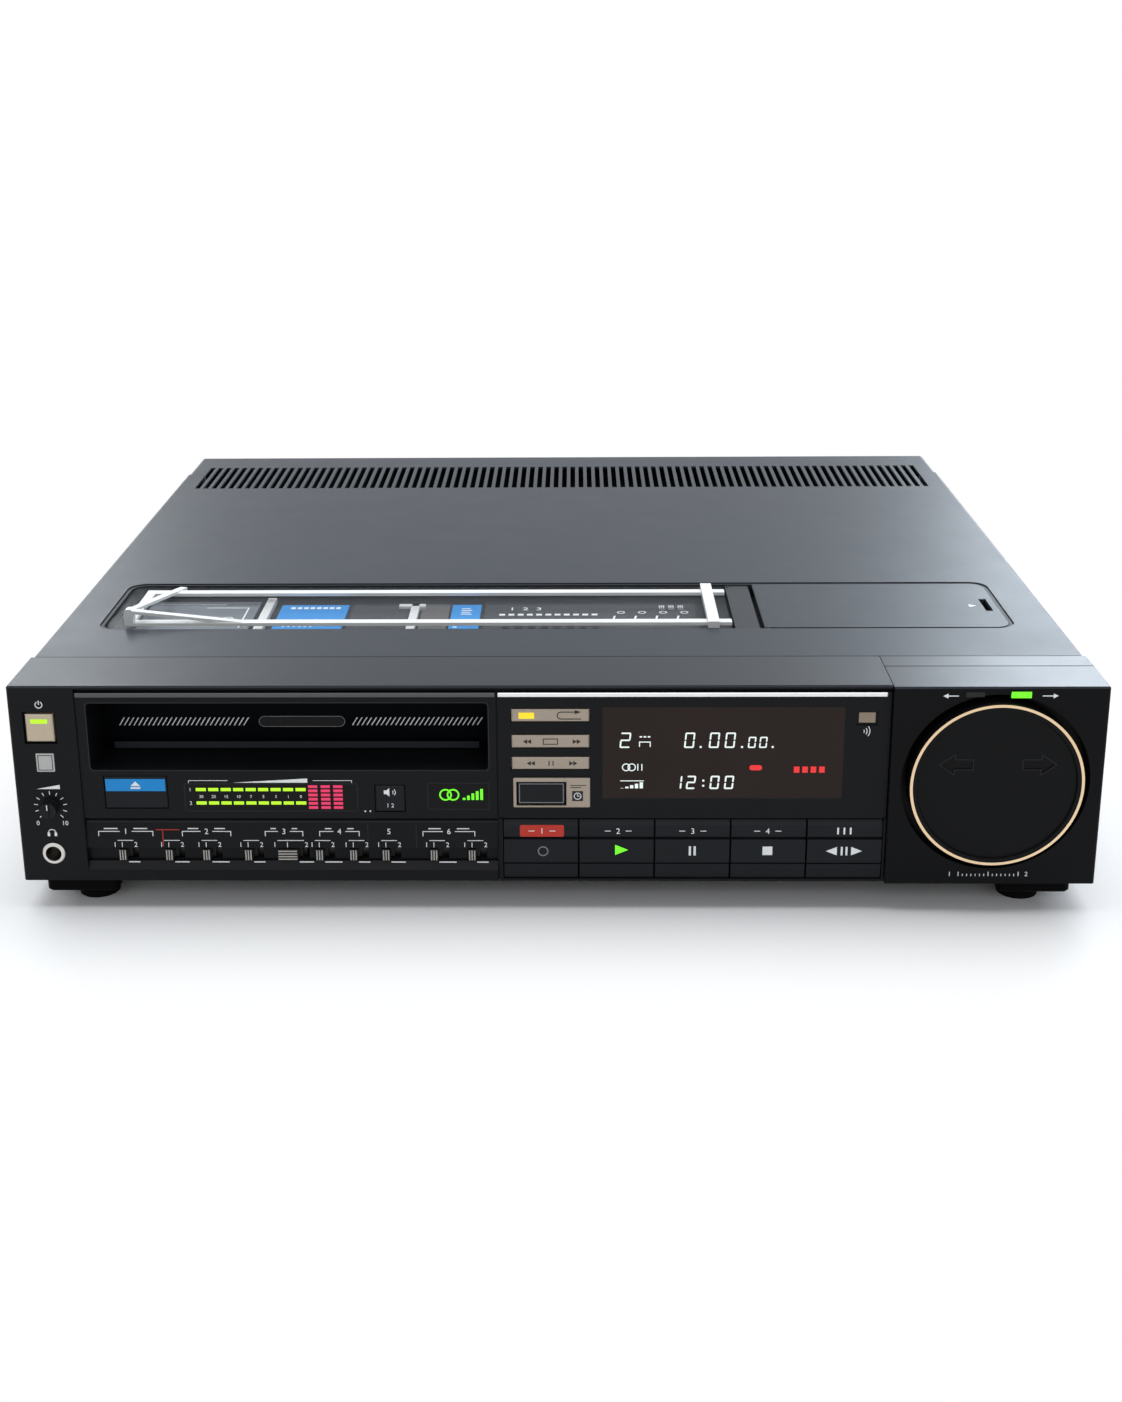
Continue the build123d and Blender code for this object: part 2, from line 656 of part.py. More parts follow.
# Slide switch levers with a retaining plate behind the strip
for index, x in enumerate(LEVER_X):
    width = lever_width(index)
    with BuildPart() as lever:
        with BuildSketch(panel(LEVER_FRONT)):
            with Locations((x, LEVER_DOWN)):
                Rectangle(width, LEVER_H)
        extrude(amount=STRIP_BACK + STOP_GAP - LEVER_FRONT)
        grip_lines = 3
        with BuildSketch(panel(LEVER_FRONT)):
            with Locations((x, LEVER_DOWN)):
                if index in (0, WIDE_LEVER):
                    with GridLocations(0, LEVER_H / grip_lines, 1, grip_lines):
                        Rectangle(width, 0.5)
                else:
                    with GridLocations(width / grip_lines, 0, grip_lines, 1):
                        Rectangle(0.35, LEVER_H)
        extrude(amount=0.5, mode=Mode.SUBTRACT)
        with BuildSketch(panel(STRIP_BACK + STOP_GAP)):
            with Locations((x, LEVER_DOWN)):
                Rectangle(LEVER_PLATE_W + width - LEVER_W, LEVER_PLATE_H)
        extrude(amount=LEVER_PLATE_T)
    save(lever.part, f"switch_lever_{index + 1}")

# Level knob on its shaft
with BuildPart() as level_knob:
    with BuildSketch(panel(-KNOB_PROUD)):
        with Locations((KNOB_X, KNOB_DOWN)):
            Circle(KNOB_R)
    extrude(amount=KNOB_PROUD - STOP_GAP, taper=-3)
    with BuildSketch(panel(-KNOB_PROUD - KNOB_POINTER_T)):
        with Locations((KNOB_X, KNOB_DOWN)):
            Rectangle(KNOB_POINTER_W, 2 * KNOB_R - KNOB_POINTER_W)
    extrude(amount=2 * KNOB_POINTER_T)
    with BuildSketch(panel(-1)):
        with Locations((KNOB_X, KNOB_DOWN)):
            Circle(KNOB_SHAFT_R)
    extrude(amount=1 + SWITCH_FACE - STOP_GAP)
save(level_knob.part, "level_knob")

# Headphone socket with its ring nut
with BuildPart() as phones_jack:
    with BuildSketch(panel(-JACK_PROUD)):
        with Locations((JACK_X, JACK_DOWN)):
            Circle(JACK_RING_R)
    extrude(amount=JACK_PROUD)
    chamfer(phones_jack.faces().sort_by(Axis.Y)[0].edges(), length=0.35)
    with BuildSketch(panel(0)):
        with Locations((JACK_X, JACK_DOWN)):
            Circle(JACK_THREAD_R - BORE_GAP)
    extrude(amount=FACE_WALL)
    with BuildSketch(panel(FACE_WALL)):
        with Locations((JACK_X, JACK_DOWN)):
            Circle(JACK_BODY_R)
    extrude(amount=JACK_DEPTH + 1.5 - FACE_WALL - JACK_PROUD)
    with BuildSketch(panel(-JACK_PROUD)):
        with Locations((JACK_X, JACK_DOWN)):
            Circle(JACK_BORE_R)
    extrude(amount=JACK_DEPTH, mode=Mode.SUBTRACT)
save(phones_jack.part, "phones_jack")

# Housing of the dial, a block that stands a little proud of the face
with BuildPart() as dial_housing:
    with BuildSketch(level(BODY_BOTTOM)):
        span(HOUSING_LEFT, BODY_W / 2, -HOUSING_PROUD, CAP_DEPTH)
    extrude(amount=BODY_H)
    front_posts = dial_housing.edges().filter_by(Axis.Z).group_by(Axis.Y)[0]
    fillet(front_posts.sort_by(Axis.X)[-1], radius=EDGE_ROUND)
    chamfer(front_posts.sort_by(Axis.X)[0], length=EDGE_ROUND / 3)
    top_front = dial_housing.edges().filter_by(Axis.X).group_by(Axis.Z)[-1].sort_by(Axis.Y)[0]
    chamfer(top_front, length=EDGE_ROUND / 2)
    with BuildSketch(panel(HOUSING_WALL - HOUSING_PROUD)):
        span(HOUSING_LEFT + HOUSING_WALL, BODY_W / 2 - HOUSING_WALL, HOUSING_WALL, BODY_H - HOUSING_WALL)
    extrude(amount=CAP_DEPTH + HOUSING_PROUD, mode=Mode.SUBTRACT)
    # Well cup with its bush
    with BuildSketch(panel(-HOUSING_PROUD)):
        with Locations((DIAL_X, DIAL_DOWN)):
            Circle(WELL_R + WELL_FLOOR)
    extrude(amount=WELL_DEPTH + WELL_FLOOR)
    with BuildSketch(panel(-HOUSING_PROUD)):
        with Locations((DIAL_X, DIAL_DOWN)):
            Circle(WELL_R)
    extrude(amount=WELL_DEPTH, mode=Mode.SUBTRACT)
    with BuildSketch(panel(WELL_DEPTH - HOUSING_PROUD)):
        with Locations((DIAL_X, DIAL_DOWN)):
            Circle(DIAL_SHAFT_R + BUSH_WALL)
    extrude(amount=DIAL_SHAFT_L + 2)
    with BuildSketch(panel(WELL_DEPTH - HOUSING_PROUD - 1)):
        with Locations((DIAL_X, DIAL_DOWN)):
            Circle(DIAL_SHAFT_R + BORE_GAP)
    extrude(amount=DIAL_SHAFT_L + 1 + STOP_GAP, mode=Mode.SUBTRACT)
    # Fine step line across the top
    with BuildSketch(level(TOP_Z - STEP_GROOVE)):
        span(HOUSING_LEFT - 1, BODY_W / 2 + 1, HOUSING_STEP, HOUSING_STEP + STEP_GROOVE)
    extrude(amount=STEP_GROOVE + 1, mode=Mode.SUBTRACT)
save(dial_housing.part, "dial_housing")

# Dial with a dished face, arrow marks and its shaft
DIAL_FRONT = -HOUSING_PROUD - DIAL_PROUD
DIAL_BACK = WELL_DEPTH - HOUSING_PROUD - 2 * STOP_GAP
with BuildPart() as jog_dial:
    with BuildSketch(panel(DIAL_FRONT)):
        with Locations((DIAL_X, DIAL_DOWN)):
            Circle(DIAL_R)
    extrude(amount=DIAL_BACK - DIAL_FRONT)
    with BuildSketch(panel(DIAL_FRONT)):
        with Locations((DIAL_X, DIAL_DOWN)):
            Circle(DIAL_R)
            Circle(DIAL_R - RING_W, mode=Mode.SUBTRACT)
    extrude(amount=RING_T, mode=Mode.SUBTRACT)
    with BuildSketch(panel(DIAL_FRONT)):
        with Locations((DIAL_X, DIAL_DOWN)):
            Circle(DIAL_R - RING_W - 1.6)
    extrude(amount=DISH_DEPTH, taper=20, mode=Mode.SUBTRACT)
    for sign in (-1, 1):
        with BuildSketch(panel(DIAL_FRONT + DISH_DEPTH)):
            with BuildLine():
                tip = DIAL_X + sign * (ARROW_X + ARROW_L / 2)
                neck = tip - sign * ARROW_L * 0.45
                tail = tip - sign * ARROW_L
                middle = DIAL_DOWN - ARROW_UP
                Polyline(
                    (tip, middle),
                    (neck, middle - ARROW_H / 2),
                    (neck, middle - ARROW_H / 4),
                    (tail, middle - ARROW_H / 4),
                    (tail, middle + ARROW_H / 4),
                    (neck, middle + ARROW_H / 4),
                    (neck, middle + ARROW_H / 2),
                    close=True,
                )
            make_face()
        extrude(amount=ARROW_CUT, mode=Mode.SUBTRACT)
    with BuildSketch(panel(DIAL_BACK)):
        with Locations((DIAL_X, DIAL_DOWN)):
            Circle(DIAL_SHAFT_R)
    extrude(amount=DIAL_SHAFT_L)
save(jog_dial.part, "jog_dial")

with BuildPart() as dial_ring:
    with BuildSketch(panel(DIAL_FRONT)):
        with Locations((DIAL_X, DIAL_DOWN)):
            Circle(DIAL_R)
            Circle(DIAL_R - RING_W, mode=Mode.SUBTRACT)
    extrude(amount=RING_T)
save(dial_ring.part, "dial_ring")

# Top cover, folded from sheet, narrower at the very back
with BuildPart() as top_cover:
    wide_part = (COVER_HALF, COVER_FRONT, KINK_DEPTH)
    narrow_part = (COVER_HALF - KINK_IN, KINK_DEPTH, BODY_D)
    for half, front, back in (wide_part, narrow_part):
        with BuildSketch(panel(front)) as section:
            span(-half, half, 0, BODY_H - COVER_SKIRT)
            fillet(section.vertices().group_by(Axis.Y)[0], radius=COVER_ROUND)
        extrude(amount=back - front)
    with BuildSketch(level(BODY_BOTTOM)):
        inner_half = COVER_HALF - SHEET
        span(-inner_half, inner_half, COVER_FRONT - 1, KINK_DEPTH - SHEET)
        span(-inner_half + KINK_IN, inner_half - KINK_IN, COVER_FRONT - 1, PANEL_BACK)
    extrude(amount=BODY_H - SHEET, mode=Mode.SUBTRACT)
    with BuildSketch(level(BODY_BOTTOM)):
        span(-inner_half + KINK_IN, inner_half - KINK_IN, KINK_DEPTH, BODY_D + 1)
    extrude(amount=BODY_H - REAR_LIP, mode=Mode.SUBTRACT)
    with BuildSketch(level(TOP_Z - REAR_LIP / 2)):
        span(BAY_LEFT, BAY_RIGHT, BAY_FRONT, BAY_BACK, BAY_CORNER)
    extrude(amount=REAR_LIP, mode=Mode.SUBTRACT)
    with BuildSketch(level(TOP_Z - REAR_LIP / 2)):
        with Locations((0, (VENT_FRONT + VENT_BACK) / 2)):
            with GridLocations(VENT_PITCH, 0, VENT_COUNT, 1):
                Rectangle(VENT_W, VENT_BACK - VENT_FRONT)
    extrude(amount=REAR_LIP, mode=Mode.SUBTRACT)
    with BuildSketch(side(-BODY_W / 2)):
        with Locations(*[(depth, -BODY_H + SIDE_SCREW_UP) for depth in SIDE_SCREWS]):
            Circle(SCREW_R + 0.3)
    extrude(amount=BODY_W, mode=Mode.SUBTRACT)
    with BuildSketch(panel(BODY_D - 2 * SHEET)):
        with Locations(*[(x, REAR_LIP / 2 + SHEET / 2) for x in REAR_SCREWS]):
            Circle(SCREW_R + 0.3)
    extrude(amount=3 * SHEET, mode=Mode.SUBTRACT)
save(top_cover.part, "top_cover")

# Bottom pan with a raised flange all round, posts for the deck and standoffs for the boards
with BuildPart() as base_pan:
    with BuildSketch(level(BODY_BOTTOM)):
        span(-PAN_HALF, PAN_HALF, CAP_DEPTH, PANEL_BACK - SHEET)
    extrude(amount=PAN_FLANGE)
    with BuildSketch(level(PAN_TOP)):
        span(-PAN_HALF + SHEET, PAN_HALF - SHEET, CAP_DEPTH + SHEET, PANEL_BACK - 2 * SHEET)
    extrude(amount=PAN_FLANGE, mode=Mode.SUBTRACT)
    with BuildSketch(level(PAN_TOP)):
        with Locations(*DECK_POSTS):
            Circle(POST_R)
    extrude(amount=DECK_BOTTOM - PAN_TOP)
    with BuildSketch(level(PAN_TOP)):
        for x0, x1, near, far in (MAIN_BOARD, POWER_BOARD):
            for x in (x0 + 2 * STANDOFF_R, x1 - 2 * STANDOFF_R):
                for depth in (near + 2 * STANDOFF_R, far - 2 * STANDOFF_R):
                    with Locations((x, depth)):
                        Circle(STANDOFF_R)
    extrude(amount=STANDOFF_H)
    with BuildSketch(level(PAN_TOP)):
        with Locations((CAPSTAN_X, CAPSTAN_DEPTH)):
            Circle(BUSH_R)
    extrude(amount=STOP_GAP + 1)
    with BuildSketch(side(-BODY_W / 2)):
        with Locations(*[(depth, -BODY_H + SIDE_SCREW_UP) for depth in SIDE_SCREWS]):
            Circle(SCREW_R)
    extrude(amount=BODY_W, mode=Mode.SUBTRACT)
save(base_pan.part, "base_pan")

# Rear panel with openings for the sockets
with BuildPart() as rear_panel:
    with BuildSketch(panel(PANEL_BACK - SHEET)):
        half = COVER_HALF - SHEET - KINK_IN - STOP_GAP
        span(-half, half, SHEET + STOP_GAP, BODY_H)
        for x in RCA_X:
            with Locations((x, BODY_H - RCA_UP)):
                Circle(RCA_R + SOCKET_HOLE_GAP, mode=Mode.SUBTRACT)
        for x in AERIAL_X:
            with Locations((x, BODY_H - AERIAL_UP)):
                Circle(AERIAL_R + SOCKET_HOLE_GAP, mode=Mode.SUBTRACT)
        with Locations((INLET_X, BODY_H - INLET_UP)):
            Rectangle(INLET_W + 2 * SOCKET_HOLE_GAP, INLET_H + 2 * SOCKET_HOLE_GAP, mode=Mode.SUBTRACT)
        for x in REAR_SCREWS:
            with Locations((x, REAR_LIP / 2 + SHEET / 2)):
                Circle(SCREW_R, mode=Mode.SUBTRACT)
        with Locations((REAR_VENT_X, BODY_H / 2)):
            with GridLocations(REAR_VENT_PITCH, 0, REAR_VENT_COUNT, 1):
                SlotOverall(REAR_VENT_H, REAR_VENT_W, rotation=90, mode=Mode.SUBTRACT)
    extrude(amount=SHEET)
save(rear_panel.part, "rear_panel")

# Feet: a moulded block with a round rubber pad under it, at each corner
with BuildPart() as foot_blocks:
    with BuildSketch(level(FOOT_PAD_H)):
        for x in (-FOOT_X, FOOT_X):
            for depth in (FOOT_IN, FOOT_REAR):
                with Locations((x, depth)):
                    RectangleRounded(FOOT_BLOCK_W, FOOT_BLOCK_D, FOOT_BLOCK_ROUND)
    extrude(amount=FOOT_BLOCK_H)
    chamfer(foot_blocks.faces().filter_by(Axis.Z).group_by(Axis.Z)[0].edges(), length=1.0)
save(foot_blocks.part, "foot_blocks")

with BuildPart() as rubber_feet:
    for x in (-PAD_X, PAD_X):
        for depth in (FOOT_IN, FOOT_REAR):
            with BuildSketch(level(0)):
                with Locations((x, depth)):
                    Circle(PAD_R)
                    Circle(PAD_R / 3, mode=Mode.SUBTRACT)
            extrude(amount=FOOT_PAD_H - 2)
            with BuildSketch(level(FOOT_PAD_H - 2)):
                with Locations((x, depth)):
                    Circle(PAD_R + PAD_TAPER)
            extrude(amount=2)
save(rubber_feet.part, "rubber_feet")

# Screws of the cover
with BuildPart() as cover_screws:
    for sign in (-1, 1):
        start = sign * COVER_HALF
        screw_planes = Plane(origin=(start, FRONT_Y, TOP_Z), x_dir=(0, 1, 0), z_dir=(1, 0, 0))
        with BuildSketch(screw_planes):
            with Locations(*[(depth, -BODY_H + SIDE_SCREW_UP) for depth in SIDE_SCREWS]):
                Circle(SCREW_HEAD_R)
        extrude(amount=sign * SCREW_HEAD_T)
        with BuildSketch(screw_planes):
            with Locations(*[(depth, -BODY_H + SIDE_SCREW_UP) for depth in SIDE_SCREWS]):
                Circle(SCREW_R - BORE_GAP)
        extrude(amount=-sign * SCREW_L)
    with BuildSketch(panel(BODY_D)):
        with Locations(*[(x, REAR_LIP / 2 + SHEET / 2) for x in REAR_SCREWS]):
            Circle(SCREW_HEAD_R)
    extrude(amount=SCREW_HEAD_T)
    with BuildSketch(panel(BODY_D)):
        with Locations(*[(x, REAR_LIP / 2 + SHEET / 2) for x in REAR_SCREWS]):
            Circle(SCREW_R - BORE_GAP)
    extrude(amount=-SCREW_L)
save(cover_screws.part, "cover_screws")

# Control bay: a shallow tray hung under the cover
TRAY_LEFT = BAY_LEFT + PANEL_GAP
TRAY_RIGHT = BAY_RIGHT - PANEL_GAP
TRAY_FRONT = BAY_FRONT + PANEL_GAP
TRAY_BACK = BAY_BACK - PANEL_GAP
INNER_LEFT = TRAY_LEFT + TRAY_WALL
INNER_RIGHT = TRAY_RIGHT - TRAY_WALL
INNER_FRONT = TRAY_FRONT + TRAY_WALL
INNER_BACK = TRAY_BACK - TRAY_WALL
LID_AXIS_X = LID_LEFT + LID_PIN_X
LID_AXIS_Z = TOP_Z - LID_DOWN - LID_T / 2
CLEAR_TOP = TOP_Z - CLEAR_DOWN
CLEAR_AXIS_Z = CLEAR_TOP - CLEAR_T / 2
CLEAR_LEFT = INNER_LEFT + CLEAR_LEFT_GAP
CLEAR_RIGHT = DIVIDER_X - CLEAR_LEFT_GAP
CLEAR_FRONT = INNER_FRONT + CLEAR_SIDE_GAP
CLEAR_BACK = INNER_BACK - CLEAR_SIDE_GAP
CLEAR_AXIS_DEPTH = CLEAR_BACK - CLEAR_PIN_IN
with BuildPart() as bay_tray:
    with BuildSketch(level(TRAY_FLOOR_TOP - TRAY_FLOOR_T)):
        span(TRAY_LEFT, TRAY_RIGHT, TRAY_FRONT, TRAY_BACK, BAY_CORNER)
    extrude(amount=TRAY_FLOOR_DOWN + TRAY_FLOOR_T - TRAY_RIM_DOWN)
    with BuildSketch(level(TOP_Z - 2 * SHEET)):
        span(
            BAY_LEFT - TRAY_FLANGE,
            BAY_RIGHT + TRAY_FLANGE,
            BAY_FRONT - TRAY_FLANGE,
            BAY_BACK + TRAY_FLANGE,
            BAY_CORNER,
        )
    extrude(amount=SHEET)
    with BuildSketch(level(TRAY_FLOOR_TOP)):
        span(INNER_LEFT, INNER_RIGHT, INNER_FRONT, INNER_BACK, BAY_CORNER - TRAY_WALL)
    extrude(amount=TRAY_FLOOR_DOWN, mode=Mode.SUBTRACT)
    with BuildSketch(level(TRAY_FLOOR_TOP)):
        span(DIVIDER_X, DIVIDER_X + DIVIDER_W, INNER_FRONT, INNER_BACK)
    extrude(amount=TRAY_FLOOR_DOWN - LID_DOWN - 0.8)
    # Bores for the hinge pins of the lid and the clear cover
    with BuildSketch(panel(TRAY_FRONT)):
        with Locations((LID_AXIS_X, TOP_Z - LID_AXIS_Z)):
            Circle(LID_PIN_R + BORE_GAP)
    extrude(amount=TRAY_BACK - TRAY_FRONT, mode=Mode.SUBTRACT)
    with BuildSketch(side(INNER_LEFT - STOP_GAP)):
        with Locations((CLEAR_AXIS_DEPTH, CLEAR_AXIS_Z - TOP_Z)):
            Circle(CLEAR_PIN_R + BORE_GAP)
    extrude(amount=DIVIDER_X + TRAY_WALL - INNER_LEFT + STOP_GAP, mode=Mode.SUBTRACT)
save(bay_tray.part, "bay_tray")

# Right-hand lid, hinged on pins along its left edge
with BuildPart() as preset_lid:
    with BuildSketch(level(TOP_Z - LID_DOWN - LID_T)):
        span(LID_LEFT, INNER_RIGHT - PANEL_GAP, INNER_FRONT + PANEL_GAP, INNER_BACK - PANEL_GAP)
    extrude(amount=LID_T)
    right_corners = preset_lid.edges().filter_by(Axis.Z).group_by(Axis.X)[-1]
    fillet(right_corners, radius=BAY_CORNER - TRAY_WALL - PANEL_GAP)
    hinge_edges = preset_lid.edges().filter_by(Axis.Y).group_by(Axis.X)[0]
    fillet(hinge_edges, radius=LID_T / 2 - 0.1)
    with BuildSketch(level(TOP_Z - LID_T - 1)):
        span(*LID_SLOT)
    extrude(amount=LID_T + 2, mode=Mode.SUBTRACT)
    pin_reach = PANEL_GAP + LID_PIN_L
    with BuildSketch(panel(INNER_FRONT + PANEL_GAP - pin_reach)):
        with Locations((LID_AXIS_X, TOP_Z - LID_AXIS_Z)):
            Circle(LID_PIN_R)
    extrude(amount=INNER_BACK - INNER_FRONT - 2 * PANEL_GAP + 2 * pin_reach)
save(preset_lid.part, "preset_lid")

# Clear cover of the bay, hinged on pins along its rear edge
with BuildPart() as clear_cover:
    with BuildSketch(level(CLEAR_TOP - CLEAR_T)):
        span(CLEAR_LEFT, CLEAR_RIGHT, CLEAR_FRONT, CLEAR_BACK)
    extrude(amount=CLEAR_T)
    left_corners = clear_cover.edges().filter_by(Axis.Z).group_by(Axis.X)[0]
    fillet(left_corners, radius=BAY_CORNER - TRAY_WALL - CLEAR_LEFT_GAP)
    right_end = CLEAR_RIGHT + CLEAR_LEFT_GAP + LID_PIN_L
    for x0, x1 in ((INNER_LEFT, CLEAR_LEFT + CLEAR_PIN_L), (CLEAR_RIGHT - CLEAR_PIN_L, right_end)):
        with BuildSketch(side(x0)):
            with Locations((CLEAR_AXIS_DEPTH, CLEAR_AXIS_Z - TOP_Z)):
                Circle(CLEAR_PIN_R)
        extrude(amount=x1 - x0)
save(clear_cover.part, "clear_cover")

# White rails on the clear cover, with the end bar, the corner post and its two straps
def strap(start, end):
    """Flat bar from one point to another, its thickness upright."""
    run = end - start
    across = run.cross(Vector(0, 0, 1)).normalized()
    cut = Plane(origin=start, x_dir=across, z_dir=run.normalized())
    with BuildPart(mode=Mode.PRIVATE) as bar:
        with BuildSketch(cut):
            Rectangle(STRAP_W, STRAP_T)
        extrude(amount=run.length)
    return bar.part


with BuildPart() as cover_rails:
    rail_right = DIVIDER_X - CLEAR_LEFT_GAP
    with BuildSketch(level(CLEAR_TOP)):
        span(RAIL_LEFT, rail_right, RAIL_FRONT, RAIL_FRONT + RAIL_W)
        span(RAIL_LEFT, rail_right, RAIL_BACK, RAIL_BACK + RAIL_W)
        span(RAIL_LEFT, RAIL_LEFT + POST_W, RAIL_FRONT, RAIL_BACK + RAIL_W)
    extrude(amount=RAIL_T)
    with BuildSketch(level(CLEAR_TOP)):
        span(BAR_X - BAR_W / 2, BAR_X + BAR_W / 2, CLEAR_FRONT, CLEAR_BACK - 3 * CLEAR_PIN_IN)
    extrude(amount=BAR_H)
    with BuildSketch(level(CLEAR_TOP)):
        span(RAIL_LEFT, RAIL_LEFT + POST_W, RAIL_FRONT, RAIL_FRONT + POST_W)
    extrude(amount=POST_H)
    fillet(cover_rails.edges().filter_by(Axis.Y).group_by(Axis.Z)[-1], radius=POST_W / 2 - 0.2)
    post_top = Vector(RAIL_LEFT + POST_W / 2, deep(RAIL_FRONT + POST_W / 2), CLEAR_TOP + POST_H - STRAP_T)
    for x, depth in (STRAP_REAR, STRAP_FRONT):
        add(strap(post_top, Vector(x, deep(depth), CLEAR_TOP + STRAP_T / 2)))
    with BuildSketch(level(CLEAR_TOP - POST_H)):
        span(BAY_LEFT, BAY_RIGHT, BAY_FRONT, BAY_BACK)
    extrude(amount=POST_H, mode=Mode.SUBTRACT)
save(cover_rails.part, "cover_rails")

# Deck plate with the fixed pins, the bush and the two guide brackets of the sled
CAGE_LENGTH = CASSETTE_D - CAGE_SHORT
CAGE_HALF = CASSETTE_W / 2 + CAGE_GAP + CAGE_SHEET
SLED_HALF = CAGE_HALF + SLED_GAP + SLED_SHEET
GUIDE_HALF = SLED_HALF + GUIDE_GAP + GUIDE_SHEET
CAGE_BOTTOM = TOP_Z - THROAT_BOTTOM - CAGE_SHEET
CAGE_INNER_H = CASSETTE_H + 0.8
CAGE_TOP = CAGE_BOTTOM + CAGE_INNER_H + 2 * CAGE_SHEET
CAGE_STUD_Z = CAGE_BOTTOM + 7.0
SLED_STUD_Z = CAGE_TOP - 6.0
SLED_FRONT = CAGE_FRONT + 1.0
SLED_BACK = CAGE_FRONT + CAGE_LENGTH + 4.0
STUD_DEPTHS = (CAGE_FRONT + 12.0, CAGE_FRONT + CAGE_LENGTH - 12.0)
SLED_STUD_DEPTHS = (CAGE_FRONT + 7.0, CAGE_FRONT + 7.0 + SLED_TRAVEL + 8.0)
GUIDE_BACK = SLED_STUD_DEPTHS[1] + SLED_TRAVEL + 6.0
GUIDE_TOP = SLED_STUD_Z + 5.0
SLED_LOW = CAGE_STUD_Z - CAGE_DROP - STUD_R - STUD_FIT - 1.6
REEL_XS = (THROAT_X - REEL_SPACING / 2, THROAT_X + REEL_SPACING / 2)
with BuildPart() as deck_plate:
    with BuildSketch(level(DECK_BOTTOM)):
        span(DECK_LEFT, DECK_RIGHT, DECK_FRONT, DECK_BACK, 4.0)
        with Locations((DRUM_X, DRUM_DEPTH)):
            Circle(DRUM_R - 8, mode=Mode.SUBTRACT)
    extrude(amount=DECK_T)
    with BuildSketch(level(DECK_BOTTOM - BUSH_L)):
        with Locations((CAPSTAN_X, CAPSTAN_DEPTH)):
            Circle(BUSH_R)
    extrude(amount=BUSH_L)
    with BuildSketch(level(DECK_BOTTOM - BUSH_L)):
        with Locations((CAPSTAN_X, CAPSTAN_DEPTH)):
            Circle(CAPSTAN_R + BORE_GAP)
    extrude(amount=BUSH_L + DECK_T, mode=Mode.SUBTRACT)
    with BuildSketch(level(DECK_TOP)):
        with Locations(*[(x, REEL_DEPTH) for x in REEL_XS]):
            Circle(REEL_PIN_R)
    extrude(amount=SPINDLE_TOP - 4)
    with BuildSketch(level(DECK_TOP)):
        with Locations((PINCH_X, PINCH_DEPTH)):
            Circle(2 * PINCH_PIN_R)
    extrude(amount=LOAD_RING_T)
    with BuildSketch(level(DECK_TOP)):
        with Locations((PINCH_X, PINCH_DEPTH)):
            Circle(PINCH_PIN_R)
    extrude(amount=LOAD_RING_T + PINCH_H + 2)
    with BuildSketch(level(DECK_TOP)):
        with Locations((DRUM_X, DRUM_DEPTH)):
            with PolarLocations(LOAD_RING_R + LOAD_PEG_R + 2 * BORE_GAP, 3, start_angle=90):
                Circle(LOAD_PEG_R)
    extrude(amount=LOAD_RING_T + 2)
    for sign in (-1, 1):
        inner = THROAT_X + sign * (GUIDE_HALF - GUIDE_SHEET)
        outer = THROAT_X + sign * GUIDE_HALF
        foot = THROAT_X + sign * (GUIDE_HALF + 7)
        with BuildSketch(level(DECK_TOP)):
            span(min(inner, outer), max(inner, outer), DECK_FRONT + 2, GUIDE_BACK)
        extrude(amount=GUIDE_TOP - DECK_TOP)
        with BuildSketch(level(DECK_TOP)):
            span(min(inner, foot), max(inner, foot), DECK_FRONT + 2, GUIDE_BACK)
        extrude(amount=GUIDE_SHEET)
    with BuildSketch(side(THROAT_X - GUIDE_HALF - 1)):
        for depth in SLED_STUD_DEPTHS:
            radius = STUD_R + STUD_FIT
            slot_middle = (depth + SLED_TRAVEL / 2, SLED_STUD_Z - TOP_Z)
            with Locations(slot_middle):
                SlotOverall(SLED_TRAVEL + 2 * radius + 2 * STOP_GAP, 2 * radius)
    extrude(amount=2 * GUIDE_HALF + 2, mode=Mode.SUBTRACT)
save(deck_plate.part, "deck_plate")

# Sled that carries the cage backwards
with BuildPart() as holder_sled:
    for sign in (-1, 1):
        inner = THROAT_X + sign * (SLED_HALF - SLED_SHEET)
        outer = THROAT_X + sign * SLED_HALF
        with BuildSketch(side(min(inner, outer))):
            span(SLED_FRONT, SLED_BACK, SLED_LOW - TOP_Z, CAGE_TOP - TOP_Z)
        extrude(amount=SLED_SHEET)
        stud_reach = GUIDE_GAP + GUIDE_SHEET + 0.6
        with BuildSketch(side(outer)):
            with Locations(*[(depth, SLED_STUD_Z - TOP_Z) for depth in SLED_STUD_DEPTHS]):
                Circle(STUD_R)
        extrude(amount=sign * stud_reach)
    with BuildSketch(side(THROAT_X - SLED_HALF)):
        span(SLED_BACK - 2.0, SLED_BACK, CAGE_TOP - TOP_Z - 16, CAGE_TOP - TOP_Z)
    extrude(amount=2 * SLED_HALF)
    with BuildSketch(side(THROAT_X - SLED_HALF - 1)):
        radius = STUD_R + STUD_FIT
        for depth in STUD_DEPTHS:
            with Locations((depth, CAGE_STUD_Z - CAGE_DROP / 2 - TOP_Z)):
                SlotOverall(CAGE_DROP + 2 * radius + 2 * STOP_GAP, 2 * radius, rotation=90)
    extrude(amount=2 * SLED_HALF + 2, mode=Mode.SUBTRACT)
save(holder_sled.part, "holder_sled")

